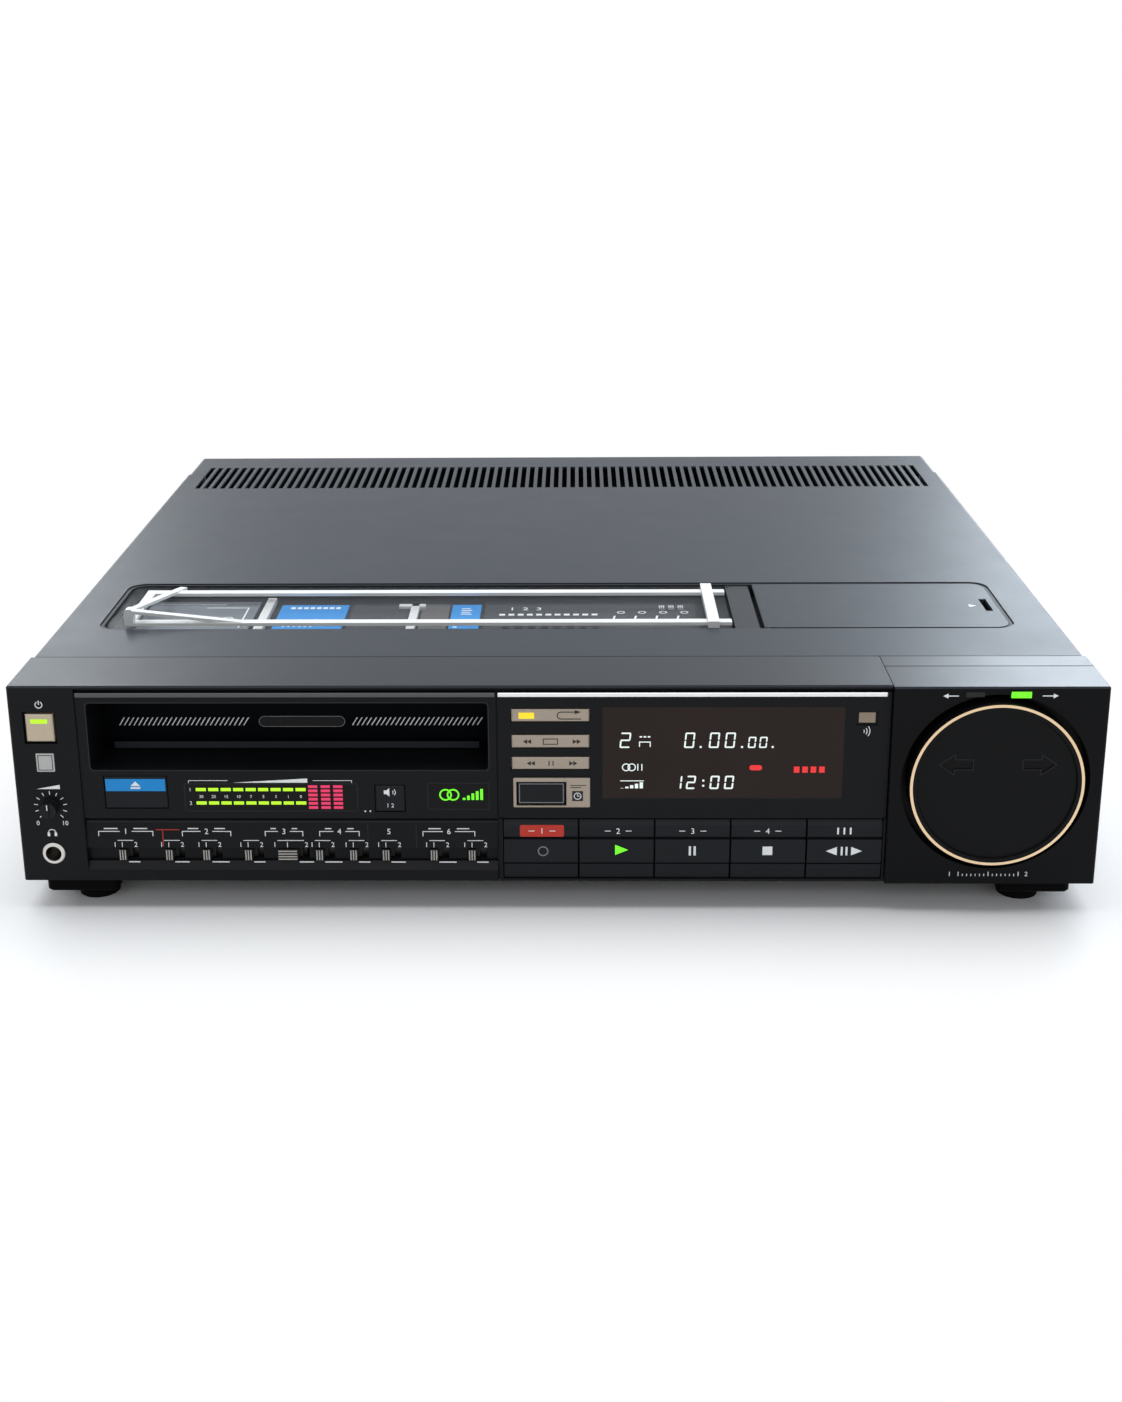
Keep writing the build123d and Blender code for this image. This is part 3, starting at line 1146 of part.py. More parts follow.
# Cage that takes the cassette, open in front and below
with BuildPart() as cassette_cage:
    with BuildSketch(panel(CAGE_FRONT)):
        span(THROAT_X - CAGE_HALF, THROAT_X + CAGE_HALF, TOP_Z - CAGE_TOP, TOP_Z - CAGE_BOTTOM)
        inner = CAGE_HALF - CAGE_SHEET
        span_top = TOP_Z - CAGE_TOP + CAGE_SHEET
        with Locations((THROAT_X, span_top + CAGE_INNER_H / 2)):
            Rectangle(2 * inner, CAGE_INNER_H, mode=Mode.SUBTRACT)
        with Locations((THROAT_X, TOP_Z - CAGE_BOTTOM - CAGE_SHEET / 2)):
            Rectangle(2 * (inner - CAGE_LIP), 2 * CAGE_SHEET, mode=Mode.SUBTRACT)
    extrude(amount=CAGE_LENGTH)
    with BuildSketch(panel(CAGE_FRONT + CAGE_LENGTH - CAGE_SHEET)):
        span(THROAT_X - CAGE_HALF, THROAT_X + CAGE_HALF, TOP_Z - CAGE_TOP, TOP_Z - CAGE_TOP + CAGE_BACK_H)
    extrude(amount=CAGE_SHEET)
    for sign in (-1, 1):
        with BuildSketch(side(THROAT_X + sign * CAGE_HALF)):
            with Locations(*[(depth, CAGE_STUD_Z - TOP_Z) for depth in STUD_DEPTHS]):
                Circle(STUD_R)
        extrude(amount=sign * (SLED_GAP + SLED_SHEET + 0.6))
save(cassette_cage.part, "cassette_cage")

# Head drum in two halves on one shaft
LOWER_DRUM_TOP = DECK_TOP + LOWER_DRUM_H
with BuildPart() as lower_drum:
    with BuildSketch(level(DECK_TOP)):
        with Locations((DRUM_X, DRUM_DEPTH)):
            Circle(DRUM_FOOT_R)
    extrude(amount=DRUM_FOOT_H)
    with BuildSketch(level(DECK_TOP)):
        with Locations((DRUM_X, DRUM_DEPTH)):
            Circle(DRUM_R)
    extrude(amount=LOWER_DRUM_H)
    with BuildSketch(level(DECK_TOP)):
        with Locations((DRUM_X, DRUM_DEPTH)):
            Circle(DRUM_SHAFT_R)
    extrude(amount=LOWER_DRUM_H + DRUM_SPLIT + UPPER_DRUM_H - 2)
save(lower_drum.part, "lower_drum")

with BuildPart() as upper_drum:
    with BuildSketch(level(LOWER_DRUM_TOP + DRUM_SPLIT)):
        with Locations((DRUM_X, DRUM_DEPTH)):
            Circle(DRUM_R)
            Circle(DRUM_SHAFT_R + BORE_GAP, mode=Mode.SUBTRACT)
    extrude(amount=UPPER_DRUM_H)
    chamfer(upper_drum.edges().group_by(Axis.Z)[-1].sort_by(SortBy.LENGTH)[-1], length=0.8)
    with BuildSketch(level(LOWER_DRUM_TOP + DRUM_SPLIT + UPPER_DRUM_H - 3)):
        with Locations((DRUM_X, DRUM_DEPTH)):
            Circle(DRUM_R - 4)
            Circle(DRUM_SHAFT_R + 8, mode=Mode.SUBTRACT)
    extrude(amount=4, mode=Mode.SUBTRACT)
save(upper_drum.part, "upper_drum")

# Loading ring round the drum, with its tape posts
with BuildPart() as loading_ring:
    with BuildSketch(level(DECK_TOP + STOP_GAP)):
        with Locations((DRUM_X, DRUM_DEPTH)):
            Circle(LOAD_RING_R)
            Circle(LOAD_RING_R - LOAD_RING_W, mode=Mode.SUBTRACT)
    extrude(amount=LOAD_RING_T)
    with BuildSketch(level(DECK_TOP + STOP_GAP)):
        with Locations((DRUM_X, DRUM_DEPTH)):
            with PolarLocations(LOAD_RING_R - LOAD_RING_W / 2, 3, start_angle=-40, angular_range=70):
                Circle(LOAD_POST_R)
    extrude(amount=LOAD_POST_H)
save(loading_ring.part, "loading_ring")

# Capstan shaft with its flywheel under the deck
with BuildPart() as capstan_flywheel:
    shaft_bottom = PAN_TOP + 1 + 2 * STOP_GAP
    wheel_top = DECK_BOTTOM - BUSH_L - STOP_GAP
    with BuildSketch(level(shaft_bottom)):
        with Locations((CAPSTAN_X, CAPSTAN_DEPTH)):
            Circle(CAPSTAN_R)
    extrude(amount=DECK_TOP + CAPSTAN_TOP - shaft_bottom)
    with BuildSketch(level(wheel_top - FLYWHEEL_T)):
        with Locations((CAPSTAN_X, CAPSTAN_DEPTH)):
            Circle(FLYWHEEL_R)
    extrude(amount=FLYWHEEL_T)
save(capstan_flywheel.part, "capstan_flywheel")

with BuildPart() as pinch_roller:
    with BuildSketch(level(DECK_TOP + LOAD_RING_T + STOP_GAP)):
        with Locations((PINCH_X, PINCH_DEPTH)):
            Circle(PINCH_R)
            Circle(PINCH_PIN_R + BORE_GAP, mode=Mode.SUBTRACT)
    extrude(amount=PINCH_H)
save(pinch_roller.part, "pinch_roller")

# Reel tables with finned spindles
for name, x in zip(("supply_reel", "takeup_reel"), REEL_XS):
    with BuildPart() as reel:
        with BuildSketch(level(DECK_TOP + STOP_GAP)):
            with Locations((x, REEL_DEPTH)):
                Circle(REEL_R)
        extrude(amount=REEL_T)
        with BuildSketch(level(DECK_TOP + STOP_GAP)):
            with Locations((x, REEL_DEPTH)):
                Circle(SPINDLE_R)
        extrude(amount=SPINDLE_TOP)
        with BuildSketch(level(DECK_TOP + STOP_GAP)):
            with Locations((x, REEL_DEPTH)):
                with PolarLocations(SPINDLE_R, 3):
                    Rectangle(2.4, 1.4)
        extrude(amount=SPINDLE_TOP - 2)
        with BuildSketch(level(DECK_TOP)):
            with Locations((x, REEL_DEPTH)):
                Circle(REEL_PIN_R + BORE_GAP)
        extrude(amount=SPINDLE_TOP - 3, mode=Mode.SUBTRACT)
    save(reel.part, name)

# Main board with its parts
BOARD_Z = PAN_TOP + STANDOFF_H
with BuildPart() as main_board:
    with BuildSketch(level(BOARD_Z)):
        span(*MAIN_BOARD, 2.0)
    extrude(amount=BOARD_T)
    for x, depth, pitch_x, pitch_y, size_x, size_y, height in (CHIPS, MODULES):
        with BuildSketch(level(BOARD_Z + BOARD_T)):
            with Locations((x, depth)):
                with GridLocations(pitch_x, pitch_y, 2, 3):
                    Rectangle(size_x, size_y)
        extrude(amount=height)
    with BuildSketch(level(BOARD_Z + BOARD_T)):
        span(*SHIELD_BOX)
    extrude(amount=SHIELD_H)
    with BuildSketch(level(BOARD_Z + BOARD_T)):
        with Locations(*SMALL_CANS):
            Circle(SMALL_CAN_R)
    extrude(amount=SMALL_CAN_H)
save(main_board.part, "main_board")

# Power board with capacitors and a finned heat sink
with BuildPart() as power_board:
    with BuildSketch(level(BOARD_Z)):
        span(*POWER_BOARD, 2.0)
    extrude(amount=BOARD_T)
    with BuildSketch(level(BOARD_Z + BOARD_T)):
        with Locations(*BIG_CANS):
            Circle(BIG_CAN_R)
    extrude(amount=BIG_CAN_H)
    with BuildSketch(level(BOARD_Z + BOARD_T)):
        x0, x1, near, far = SINK_BASE
        count, pitch, thickness, length = SINK_FINS
        span(*SINK_BASE)
        with Locations(((x0 + x1) / 2, near + length / 2)):
            with GridLocations(pitch, 0, count, 1):
                Rectangle(thickness, length)
    extrude(amount=SINK_H)
save(power_board.part, "power_board")

# Mains transformer standing on the pan
with BuildPart() as transformer:
    x0, x1, near, far = TRANSFORMER
    with BuildSketch(level(PAN_TOP)):
        span(x0, x1, near, far)
    extrude(amount=TRANSFORMER_FOOT)
    with BuildSketch(level(PAN_TOP + TRANSFORMER_FOOT)):
        span(x0, x1, near + CORE_IN, far - CORE_IN)
    extrude(amount=TRANSFORMER_H)
    with BuildSketch(level(PAN_TOP + TRANSFORMER_FOOT)):
        span(x0 + COIL_IN, x1 - COIL_IN, near + TRANSFORMER_FOOT, far - TRANSFORMER_FOOT, 3.0)
    extrude(amount=TRANSFORMER_H - COIL_IN)
save(transformer.part, "transformer")

# Tuner box with two threaded aerial sockets through the rear panel
with BuildPart() as tuner_box:
    x0, x1, near, far = TUNER_BOX
    with BuildSketch(level(PAN_TOP)):
        span(x0, x1, near, far)
    extrude(amount=TUNER_H)
    for radius, start in ((AERIAL_R - SOCKET_NECK, far), (AERIAL_R, PANEL_BACK + SOCKET_NECK)):
        with BuildSketch(panel(start)):
            for x in AERIAL_X:
                with Locations((x, BODY_H - AERIAL_UP)):
                    Circle(radius)
        extrude(amount=BODY_D + JACK_REACH - start)
    with BuildSketch(panel(BODY_D)):
        for x in AERIAL_X:
            with Locations((x, BODY_H - AERIAL_UP)):
                Circle(AERIAL_R / 3)
    extrude(amount=JACK_REACH, mode=Mode.SUBTRACT)
save(tuner_box.part, "tuner_box")

# Audio and video sockets, and the mains inlet
with BuildPart() as rear_sockets:
    socket_inner = PANEL_BACK - SHEET
    with BuildSketch(panel(socket_inner - SOCKET_BASE_T)):
        middle = BODY_H - RCA_UP
        rim = SOCKET_BASE_RIM
        span(RCA_X[0] - rim, RCA_X[-1] + rim, middle - rim, middle + rim)
    extrude(amount=SOCKET_BASE_T)
    for radius, start in ((RCA_R - SOCKET_NECK, socket_inner), (RCA_R, PANEL_BACK + SOCKET_NECK)):
        with BuildSketch(panel(start)):
            for x in RCA_X:
                with Locations((x, BODY_H - RCA_UP)):
                    Circle(radius)
        extrude(amount=BODY_D + JACK_REACH - start)
    with BuildSketch(panel(BODY_D)):
        for x in RCA_X:
            with Locations((x, BODY_H - RCA_UP)):
                Circle(RCA_R - RCA_SHELL)
                Circle(RCA_PIN_R, mode=Mode.SUBTRACT)
    extrude(amount=JACK_REACH, mode=Mode.SUBTRACT)
    inlet_middle = BODY_H - INLET_UP
    with BuildSketch(panel(socket_inner - INLET_DEPTH)):
        with Locations((INLET_X, inlet_middle)):
            RectangleRounded(INLET_W, INLET_H, INLET_RIM)
    extrude(amount=INLET_DEPTH + SHEET)
    with BuildSketch(panel(PANEL_BACK)):
        with Locations((INLET_X, inlet_middle)):
            RectangleRounded(INLET_W + 2 * INLET_RIM, INLET_H + 2 * INLET_RIM, INLET_RIM)
    extrude(amount=2 * SHEET)
    with BuildSketch(panel(socket_inner - INLET_DEPTH + SHEET)):
        with Locations((INLET_X, inlet_middle)):
            SlotOverall(INLET_SLOT_W, INLET_SLOT_H)
    extrude(amount=2 * INLET_DEPTH, mode=Mode.SUBTRACT)
    with BuildSketch(panel(socket_inner - INLET_DEPTH)):
        for pin_x in (INLET_X - INLET_PIN_X, INLET_X + INLET_PIN_X):
            with Locations((pin_x, inlet_middle)):
                Circle(INLET_PIN_R)
    extrude(amount=INLET_DEPTH)
save(rear_sockets.part, "rear_sockets")

# Control board behind the face, with its switches and lamps, on four posts of the moulding
with BuildPart() as front_board:
    with BuildSketch(panel(FRONT_BOARD_DEPTH)):
        span(LEFT + FRONT_BOARD_IN, FASCIA_RIGHT - 3.3, 5.0, BODY_H - 3.0)
        span(
            THROAT_LEFT - TUNNEL_WALL - 1,
            THROAT_RIGHT + TUNNEL_WALL + 1,
            0,
            THROAT_BOTTOM + TUNNEL_FLOOR + 0.5,
        )
    extrude(amount=BOARD_T)
    with BuildSketch(panel(FRONT_BOARD_DEPTH - 1)):
        span(
            THROAT_LEFT - TUNNEL_WALL - 1,
            THROAT_RIGHT + TUNNEL_WALL + 1,
            -1,
            THROAT_BOTTOM + TUNNEL_FLOOR + 0.5,
        )
        with Locations((JACK_X, JACK_DOWN)):
            Circle(JACK_BODY_R + STOP_GAP)
    extrude(amount=BOARD_T + 2, mode=Mode.SUBTRACT)
    with BuildSketch(panel(SWITCH_FACE)):
        for x0, x1, top, bottom in PUSH_BUTTONS.values():
            with Locations(((x0 + x1) / 2, (top + bottom) / 2)):
                Rectangle(SWITCH_SIZE, SWITCH_SIZE)
        for index in range(len(KEY_NAMES)):
            with Locations((KEYS_LEFT + KEY_PITCH * (index + 0.5), (KEYS_TOP + KEYS_BOTTOM) / 2)):
                Rectangle(SWITCH_SIZE, SWITCH_SIZE)
        with Locations((KNOB_X, KNOB_DOWN)):
            Rectangle(2 * SWITCH_SIZE, 2 * SWITCH_SIZE)
    extrude(amount=FRONT_BOARD_DEPTH - SWITCH_FACE)
    switch_body_depth = STRIP_BACK + 2 * STOP_GAP + LEVER_PLATE_T
    with BuildSketch(panel(switch_body_depth)):
        for x in LEVER_X:
            with Locations((x + LEVER_TRAVEL / 2, LEVER_DOWN)):
                Rectangle(LEVER_PLATE_W + LEVER_TRAVEL, LEVER_PLATE_H)
    extrude(amount=FRONT_BOARD_DEPTH - switch_body_depth)
    with BuildSketch(panel(MODULE_SET + WINDOW_T + 1)):
        for x0, x1, top, bottom in WINDOWS.values():
            span(x0 + 1, x1 - 1, top + 0.8, bottom - 0.8)
    extrude(amount=FRONT_BOARD_DEPTH - MODULE_SET - WINDOW_T - 1)
save(front_board.part, "front_board")
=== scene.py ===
# %% [markdown]
# # Dressing a video cassette recorder
#
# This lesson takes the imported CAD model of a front-loading video cassette recorder and gives it
# the finishes and the small printed and lit details of the real one. The CAD model is a fixed
# frame: every piece that is added here is made in its own place, in metres, and then rides on
# the body that carries it, so a lamp on a button moves when the button is pressed.

# %% Load the frame
import math

import bmesh
import bpy
from mathutils import Matrix, Vector


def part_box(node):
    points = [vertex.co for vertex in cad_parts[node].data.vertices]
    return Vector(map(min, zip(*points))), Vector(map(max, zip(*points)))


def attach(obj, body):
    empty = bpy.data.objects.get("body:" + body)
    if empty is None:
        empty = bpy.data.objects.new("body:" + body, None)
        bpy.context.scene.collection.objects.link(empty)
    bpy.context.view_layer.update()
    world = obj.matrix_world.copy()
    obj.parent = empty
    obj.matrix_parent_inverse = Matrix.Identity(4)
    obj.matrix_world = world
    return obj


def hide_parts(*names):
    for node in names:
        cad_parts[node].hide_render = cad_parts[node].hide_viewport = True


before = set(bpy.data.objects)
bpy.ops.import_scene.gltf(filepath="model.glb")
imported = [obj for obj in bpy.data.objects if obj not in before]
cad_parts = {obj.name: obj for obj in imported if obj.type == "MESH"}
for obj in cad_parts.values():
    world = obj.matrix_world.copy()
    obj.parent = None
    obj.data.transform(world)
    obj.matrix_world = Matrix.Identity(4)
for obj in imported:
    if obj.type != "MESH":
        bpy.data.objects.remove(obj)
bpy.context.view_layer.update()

# %% [markdown]
# ## Where things are
#
# A front panel is drawn in millimetres across, down from the top edge, and behind the face.
# One helper turns such a place into metres in the model's frame. The two reference planes are
# read from the CAD nodes. The depths of the surfaces that carry marks are named once.

# %% From panel millimetres to metres
FACE_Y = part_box("front_fascia")[0][1]
TOP_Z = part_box("top_cover")[1][2]
DOOR_FACE = 23.4
DOOR_RIB_FACE = 21.9
WINDOW_FACE = 0.8
BUTTON_FACE = 0.5
LABEL_FACE = 0.2
BEZEL_FACE = -0.1
KEY_FACE = -0.1
BADGE_FACE = -0.35
HOUSING_FACE = -2.0
DIAL_FACE = -4.5
REAR_FACE = 388.8


def spot(across, down, behind):
    """A point of the machine, from millimetres across, below the top edge and behind the face."""
    return Vector((across / 1000, FACE_Y + behind / 1000, TOP_Z - down / 1000))


def floor_at(down):
    """A level surface; v runs towards the viewer, so it is minus the distance behind the front."""
    return lambda u, v, lift: spot(u, down - lift, -v)


def rear_face(u, v, lift):
    """The outside of the rear panel."""
    return spot(u, v, REAR_FACE + lift)


print("front face at Y", round(FACE_Y, 5), "top edge at Z", round(TOP_Z, 5))

# %% [markdown]
# Every mesh of this lesson ends in the same way: its faces are turned outwards, it gets one
# finish, and it rides on a body. Most pieces ride on the chassis.


# %% From a shape to a piece
def add_piece(name, shape, finish, body):
    """Turn a bmesh into a named object that rides on a body."""
    bmesh.ops.recalc_face_normals(shape, faces=shape.faces)
    mesh = bpy.data.meshes.new(name)
    shape.to_mesh(mesh)
    shape.free()
    mesh.materials.append(finish)
    piece = bpy.data.objects.new(name, mesh)
    bpy.context.scene.collection.objects.link(piece)
    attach(piece, body)
    print(f"{name}: {len(mesh.polygons)} faces on {body}")
    return piece


print("piece maker ready")

# %% [markdown]
# ## Node trees as sums
#
# A shader is easier to read as a formula than as a picture of wires. `Wire` stands for one value
# in a node tree and overloads plus, minus, times and divide, so `0.3 + 0.1 * cloud` adds its own
# Math nodes. `Board` holds the tree and makes every other node through one method.


# %% The two small classes that all trees use
class Wire:
    """One value in a node tree."""

    def __init__(self, board, socket):
        self.board = board
        self.socket = socket

    def math(self, operation, other=0.0, swapped=False, clamp=False):
        first, second = (other, self) if swapped else (self, other)
        settings = {"operation": operation, "use_clamp": clamp}
        return self.board.node("ShaderNodeMath", settings, {0: first, 1: second})

    def __add__(self, other):
        return self.math("ADD", other)

    def __sub__(self, other):
        return self.math("SUBTRACT", other)

    def __rsub__(self, other):
        return self.math("SUBTRACT", other, swapped=True)

    def __mul__(self, other):
        return self.math("MULTIPLY", other)

    def __truediv__(self, other):
        return self.math("DIVIDE", other)

    def __gt__(self, other):
        return self.math("GREATER_THAN", other)

    __radd__ = __add__
    __rmul__ = __mul__


class Board:
    """A node tree that is written as plain calls."""

    def __init__(self, tree):
        self.tree = tree

    def feed(self, socket, value):
        if isinstance(value, Wire):
            self.tree.links.new(value.socket, socket)
        else:
            socket.default_value = value

    def node(self, kind, settings=None, sockets=None, out=0):
        made = self.tree.nodes.new(kind)
        for name, value in (settings or {}).items():
            setattr(made, name, value)
        for name, value in (sockets or {}).items():
            self.feed(made.inputs[name], value)
        return Wire(self, made.outputs[out])


print("node helpers ready")

# %% [markdown]
# ## A finish
#
# Each finish is one Principled shader. Patterns read Object coordinates, because every piece sits
# at the origin with its place in its mesh: a grain then has the same size on all pieces and does
# not slide when a piece moves. What varies feeds only colour, glow, roughness, coat, alpha and
# the bump.

# %% Finishes and their patterns
OBJECT_COORDINATES = 3


class Finish(Board):
    """The node tree of one finish, with its Principled shader."""

    def __init__(self, name, **constants):
        self.material = bpy.data.materials.new(name)
        self.material.use_nodes = True
        super().__init__(self.material.node_tree)
        self.shader = next(n for n in self.tree.nodes if n.type == "BSDF_PRINCIPLED")
        self.place = self.node("ShaderNodeTexCoord", out=OBJECT_COORDINATES)
        for key, value in constants.items():
            self.shader.inputs[key.replace("_", " ")].default_value = value

    def stretched(self, x, y, z):
        return self.node("ShaderNodeMapping", {}, {"Vector": self.place, "Scale": (x, y, z)})

    def cloud(self, scale, detail=2.0, rough=0.5, place=None):
        sockets = {"Vector": place or self.place, "Scale": scale, "Detail": detail, "Roughness": rough}
        return self.node("ShaderNodeTexNoise", {}, sockets)

    def cells(self, scale):
        return self.node("ShaderNodeTexVoronoi", {}, {"Vector": self.place, "Scale": scale})

    def axis(self, index):
        return self.node("ShaderNodeSeparateXYZ", {}, {0: self.place}, out=index)

    def blend(self, factor, first, second):
        sockets = {0: factor, 6: first, 7: second}
        return self.node("ShaderNodeMix", {"data_type": "RGBA"}, sockets, out=2)

    def shades(self, factor, colour, dark, light):
        """A colour that goes from darker to lighter as the factor rises."""
        return self.blend(factor, tone(colour, dark), tone(colour, light))

    def colour(self, value):
        self.feed(self.shader.inputs["Base Color"], value)

    def rough(self, value):
        self.feed(self.shader.inputs["Roughness"], value)

    def bump(self, height, distance):
        sockets = {"Height": height, "Distance": distance, "Strength": 1.0}
        self.feed(self.shader.inputs["Normal"], self.node("ShaderNodeBump", {}, sockets))


def tone(colour, gain):
    """The same colour, lighter or darker."""
    return tuple(min(1.0, c * gain) for c in colour[:3]) + (1.0,)


print("finish class ready")

# %% [markdown]
# ## Painted steel and moulded plastic
#
# The cover is sheet steel under a fine satin paint: a close, shallow orange peel, faint clouds of
# tone, a long drift from the roller, and a few rubbed patches. The face is moulded plastic with a
# finer, sharper grain from the etched tool. Both have low speculars, as dull paint has.

# %% Paint and plastic recipes
CAP_DEPTH = 0.0007


def satin_paint(name, colour, rough=0.38):
    finish = Finish(name, Specular_IOR_Level=0.08)
    drift = finish.cloud(9.0, 3.0)
    peel = finish.cloud(2600.0, 2.0, 0.6)
    rolled = finish.cloud(1.0, 5.0, 0.7, finish.stretched(14.0, 900.0, 900.0))
    rubbed = finish.cloud(38.0, 5.0, 0.65)
    finish.colour(finish.shades(drift * 0.3 + peel * 0.2 + rolled * 0.5, colour, 0.78, 1.22))
    finish.rough((rough - 0.09) + 0.1 * rubbed + 0.08 * peel)
    finish.bump(peel, 0.00002)
    return finish.material


def moulded_plastic(name, colour, rough=0.38, specular=0.12, depth=0.000012, cap=None):
    """With cap, the top face has its own tone and a coat of lacquer, as a painted edge has."""
    finish = Finish(name, Specular_IOR_Level=specular, Coat_Roughness=0.34)
    etched = finish.cells(4200.0)
    smear = finish.cloud(26.0, 4.0, 0.6)
    shade = finish.shades(smear, colour, 0.85, 1.18)
    if cap:
        upward = finish.axis(2) > (TOP_Z - CAP_DEPTH)
        shade = finish.blend(upward, shade, finish.shades(smear, cap, 0.88, 1.12))
        finish.feed(finish.shader.inputs["Coat Weight"], upward * (0.02 + 0.03 * smear))
    finish.colour(shade)
    finish.rough((rough - 0.06) + 0.12 * smear + 0.05 * etched)
    finish.bump(etched, depth)
    return finish.material


CAP = (0.0155, 0.019, 0.025)
cover_slate = satin_paint("cover slate paint", (0.0295, 0.0355, 0.045))
face_black = moulded_plastic("face black", (0.0052, 0.0056, 0.0068), cap=CAP)
housing_black = moulded_plastic(
    "dial housing black", (0.003, 0.0032, 0.004), rough=0.3, specular=0.09, cap=CAP
)
dial_black = moulded_plastic("dial black", (0.0034, 0.0036, 0.0042), rough=0.36, specular=0.1)
key_black = moulded_plastic("key black", (0.0105, 0.0118, 0.0142), rough=0.36)
door_black = moulded_plastic("door black", (0.0012, 0.0018, 0.0026), rough=0.4, specular=0.03)
tray_black = moulded_plastic("tray black", (0.02, 0.022, 0.025), rough=0.5)
tray_grey = moulded_plastic("tray grey", (0.16, 0.18, 0.2), rough=0.4)
lever_grey = moulded_plastic("lever grey", (0.03, 0.03, 0.03), rough=0.4)
ridge_grey = moulded_plastic("lever ridge", (0.42, 0.4, 0.37), rough=0.42)
foot_black = moulded_plastic("foot black", (0.0015, 0.0015, 0.0018), rough=0.5, specular=0.04)
rear_black = satin_paint("rear panel paint", (0.016, 0.016, 0.018), rough=0.5)
print("paints and plastics:", len(bpy.data.materials), "materials")

# %% [markdown]
# ## Champagne, gold and bare metals
#
# The small buttons carry a warm metallic paint: fine flakes in a pale brown ground. The ring of the
# dial is polished and anodised. Sheet steel inside is zinc plated, with the crystals called
# spangle, and turned aluminium shows the circular lines of the tool.


# %% Metal recipes
def champagne_paint(name, colour):
    finish = Finish(name, Metallic=0.35)
    flake = finish.cells(5200.0)
    soil = finish.cloud(60.0, 4.0, 0.6)
    finish.colour(finish.shades(0.55 * flake + 0.45 * soil, colour, 0.82, 1.16))
    finish.rough(0.42 + 0.08 * flake)
    finish.bump(flake, 0.00001)
    return finish.material


def plated_sheet(name, colour):
    finish = Finish(name, Metallic=1.0)
    spangle = finish.cells(120.0)
    rolled = finish.cloud(1.0, 3.0, 0.6, finish.stretched(30.0, 1400.0, 1400.0))
    finish.colour(finish.shades(spangle * 0.5 + rolled * 0.5, colour, 0.8, 1.1))
    finish.rough(0.38 + 0.14 * spangle)
    finish.bump(rolled, 0.000008)
    return finish.material


def turned_metal(name, colour, node, rough):
    """Circular tool lines round the middle of a CAD node."""
    finish = Finish(name, Metallic=1.0)
    low, high = (Vector(corner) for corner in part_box(node))
    sockets = {"Vector": finish.place, "Location": tuple(-c for c in (low + high) / 2)}
    moved = finish.node("ShaderNodeMapping", {}, sockets)
    x, y = (finish.node("ShaderNodeSeparateXYZ", {}, {0: moved}, out=k) for k in (0, 1))
    radius = (x * x + y * y).math("SQRT")
    grime = finish.cloud(150.0, 4.0)
    finish.colour(finish.shades(grime, colour, 0.86, 1.06))
    finish.rough(rough + 0.1 * grime)
    finish.bump((radius * 2600.0).math("SINE"), 0.000006)
    return finish.material


def polished_metal(name, colour, rough=0.16):
    finish = Finish(name, Metallic=1.0)
    haze = finish.cloud(420.0, 4.0, 0.6)
    finish.colour(finish.shades(haze, colour, 0.9, 1.08))
    finish.rough(rough + 0.1 * haze)
    finish.bump(haze, 0.000004)
    return finish.material


champagne = champagne_paint("champagne paint", (0.36, 0.3, 0.24))
champagne_bright = champagne_paint("pale champagne paint", (0.5, 0.42, 0.31))
ring_gold = polished_metal("dial ring gold", (0.83, 0.62, 0.4))
zinc = plated_sheet("zinc plated steel", (0.6, 0.6, 0.58))
drum_metal = turned_metal("turned drum aluminium", (0.78, 0.79, 0.8), "upper_drum", 0.26)
wheel_metal = turned_metal("machined flywheel", (0.4, 0.4, 0.41), "capstan_flywheel", 0.32)
plug_metal = polished_metal("socket plating", (0.62, 0.6, 0.57), 0.2)
screw_metal = polished_metal("blackened screw steel", (0.06, 0.06, 0.065), 0.35)
# One polished metal in a lit and a shaded tone for the two trims: painted highlight and painted shade.
trim_painted_highlight = polished_metal("bright trim", (0.8, 0.81, 0.82), 0.22)
trim_painted_shade = polished_metal("dark trim", (0.09, 0.095, 0.1), 0.3)
print("metals done:", len(bpy.data.materials), "materials so far")

# %% [markdown]
# ## Acrylic, rubber, board and winding
#
# The windows are smoked acrylic, glossy and nearly black, with a warm cast over the display. The
# clear cover lets light through: it is a thin sheet with a low alpha and a hard gloss, rather than
# refracting glass, because that would put the tray under it in false shadow.


# %% The other recipes
def smoked_acrylic(name, colour, glow=None):
    finish = Finish(name, Specular_IOR_Level=0.13)
    dust = finish.cloud(900.0, 5.0, 0.7)
    depth = finish.cloud(22.0, 2.0)
    finish.colour(finish.shades(depth, colour, 0.75, 1.3))
    finish.rough(0.06 + 0.1 * dust)
    if glow:
        finish.feed(finish.shader.inputs["Emission Color"], finish.shades(depth, glow, 0.7, 1.3))
        finish.shader.inputs["Emission Strength"].default_value = 1.0
    return finish.material


def clear_acrylic(name, colour, alpha):
    finish = Finish(name, Specular_IOR_Level=0.6)
    scuff = finish.cloud(1.0, 6.0, 0.7, finish.stretched(90.0, 420.0, 420.0))
    haze = finish.cloud(14.0, 3.0)
    finish.colour(colour + (1.0,))
    finish.rough(0.05 + 0.22 * scuff)
    finish.feed(finish.shader.inputs["Alpha"], alpha + 0.05 * haze + 0.06 * scuff)
    return finish.material


def milky_plastic(name, colour, rough=0.3):
    finish = Finish(name, Specular_IOR_Level=0.5)
    cloudy = finish.cloud(75.0, 4.0, 0.6)
    finish.colour(finish.shades(cloudy, colour, 0.86, 1.05))
    finish.rough(rough + 0.14 * cloudy)
    finish.bump(finish.cloud(2400.0, 2.0), 0.00001)
    return finish.material


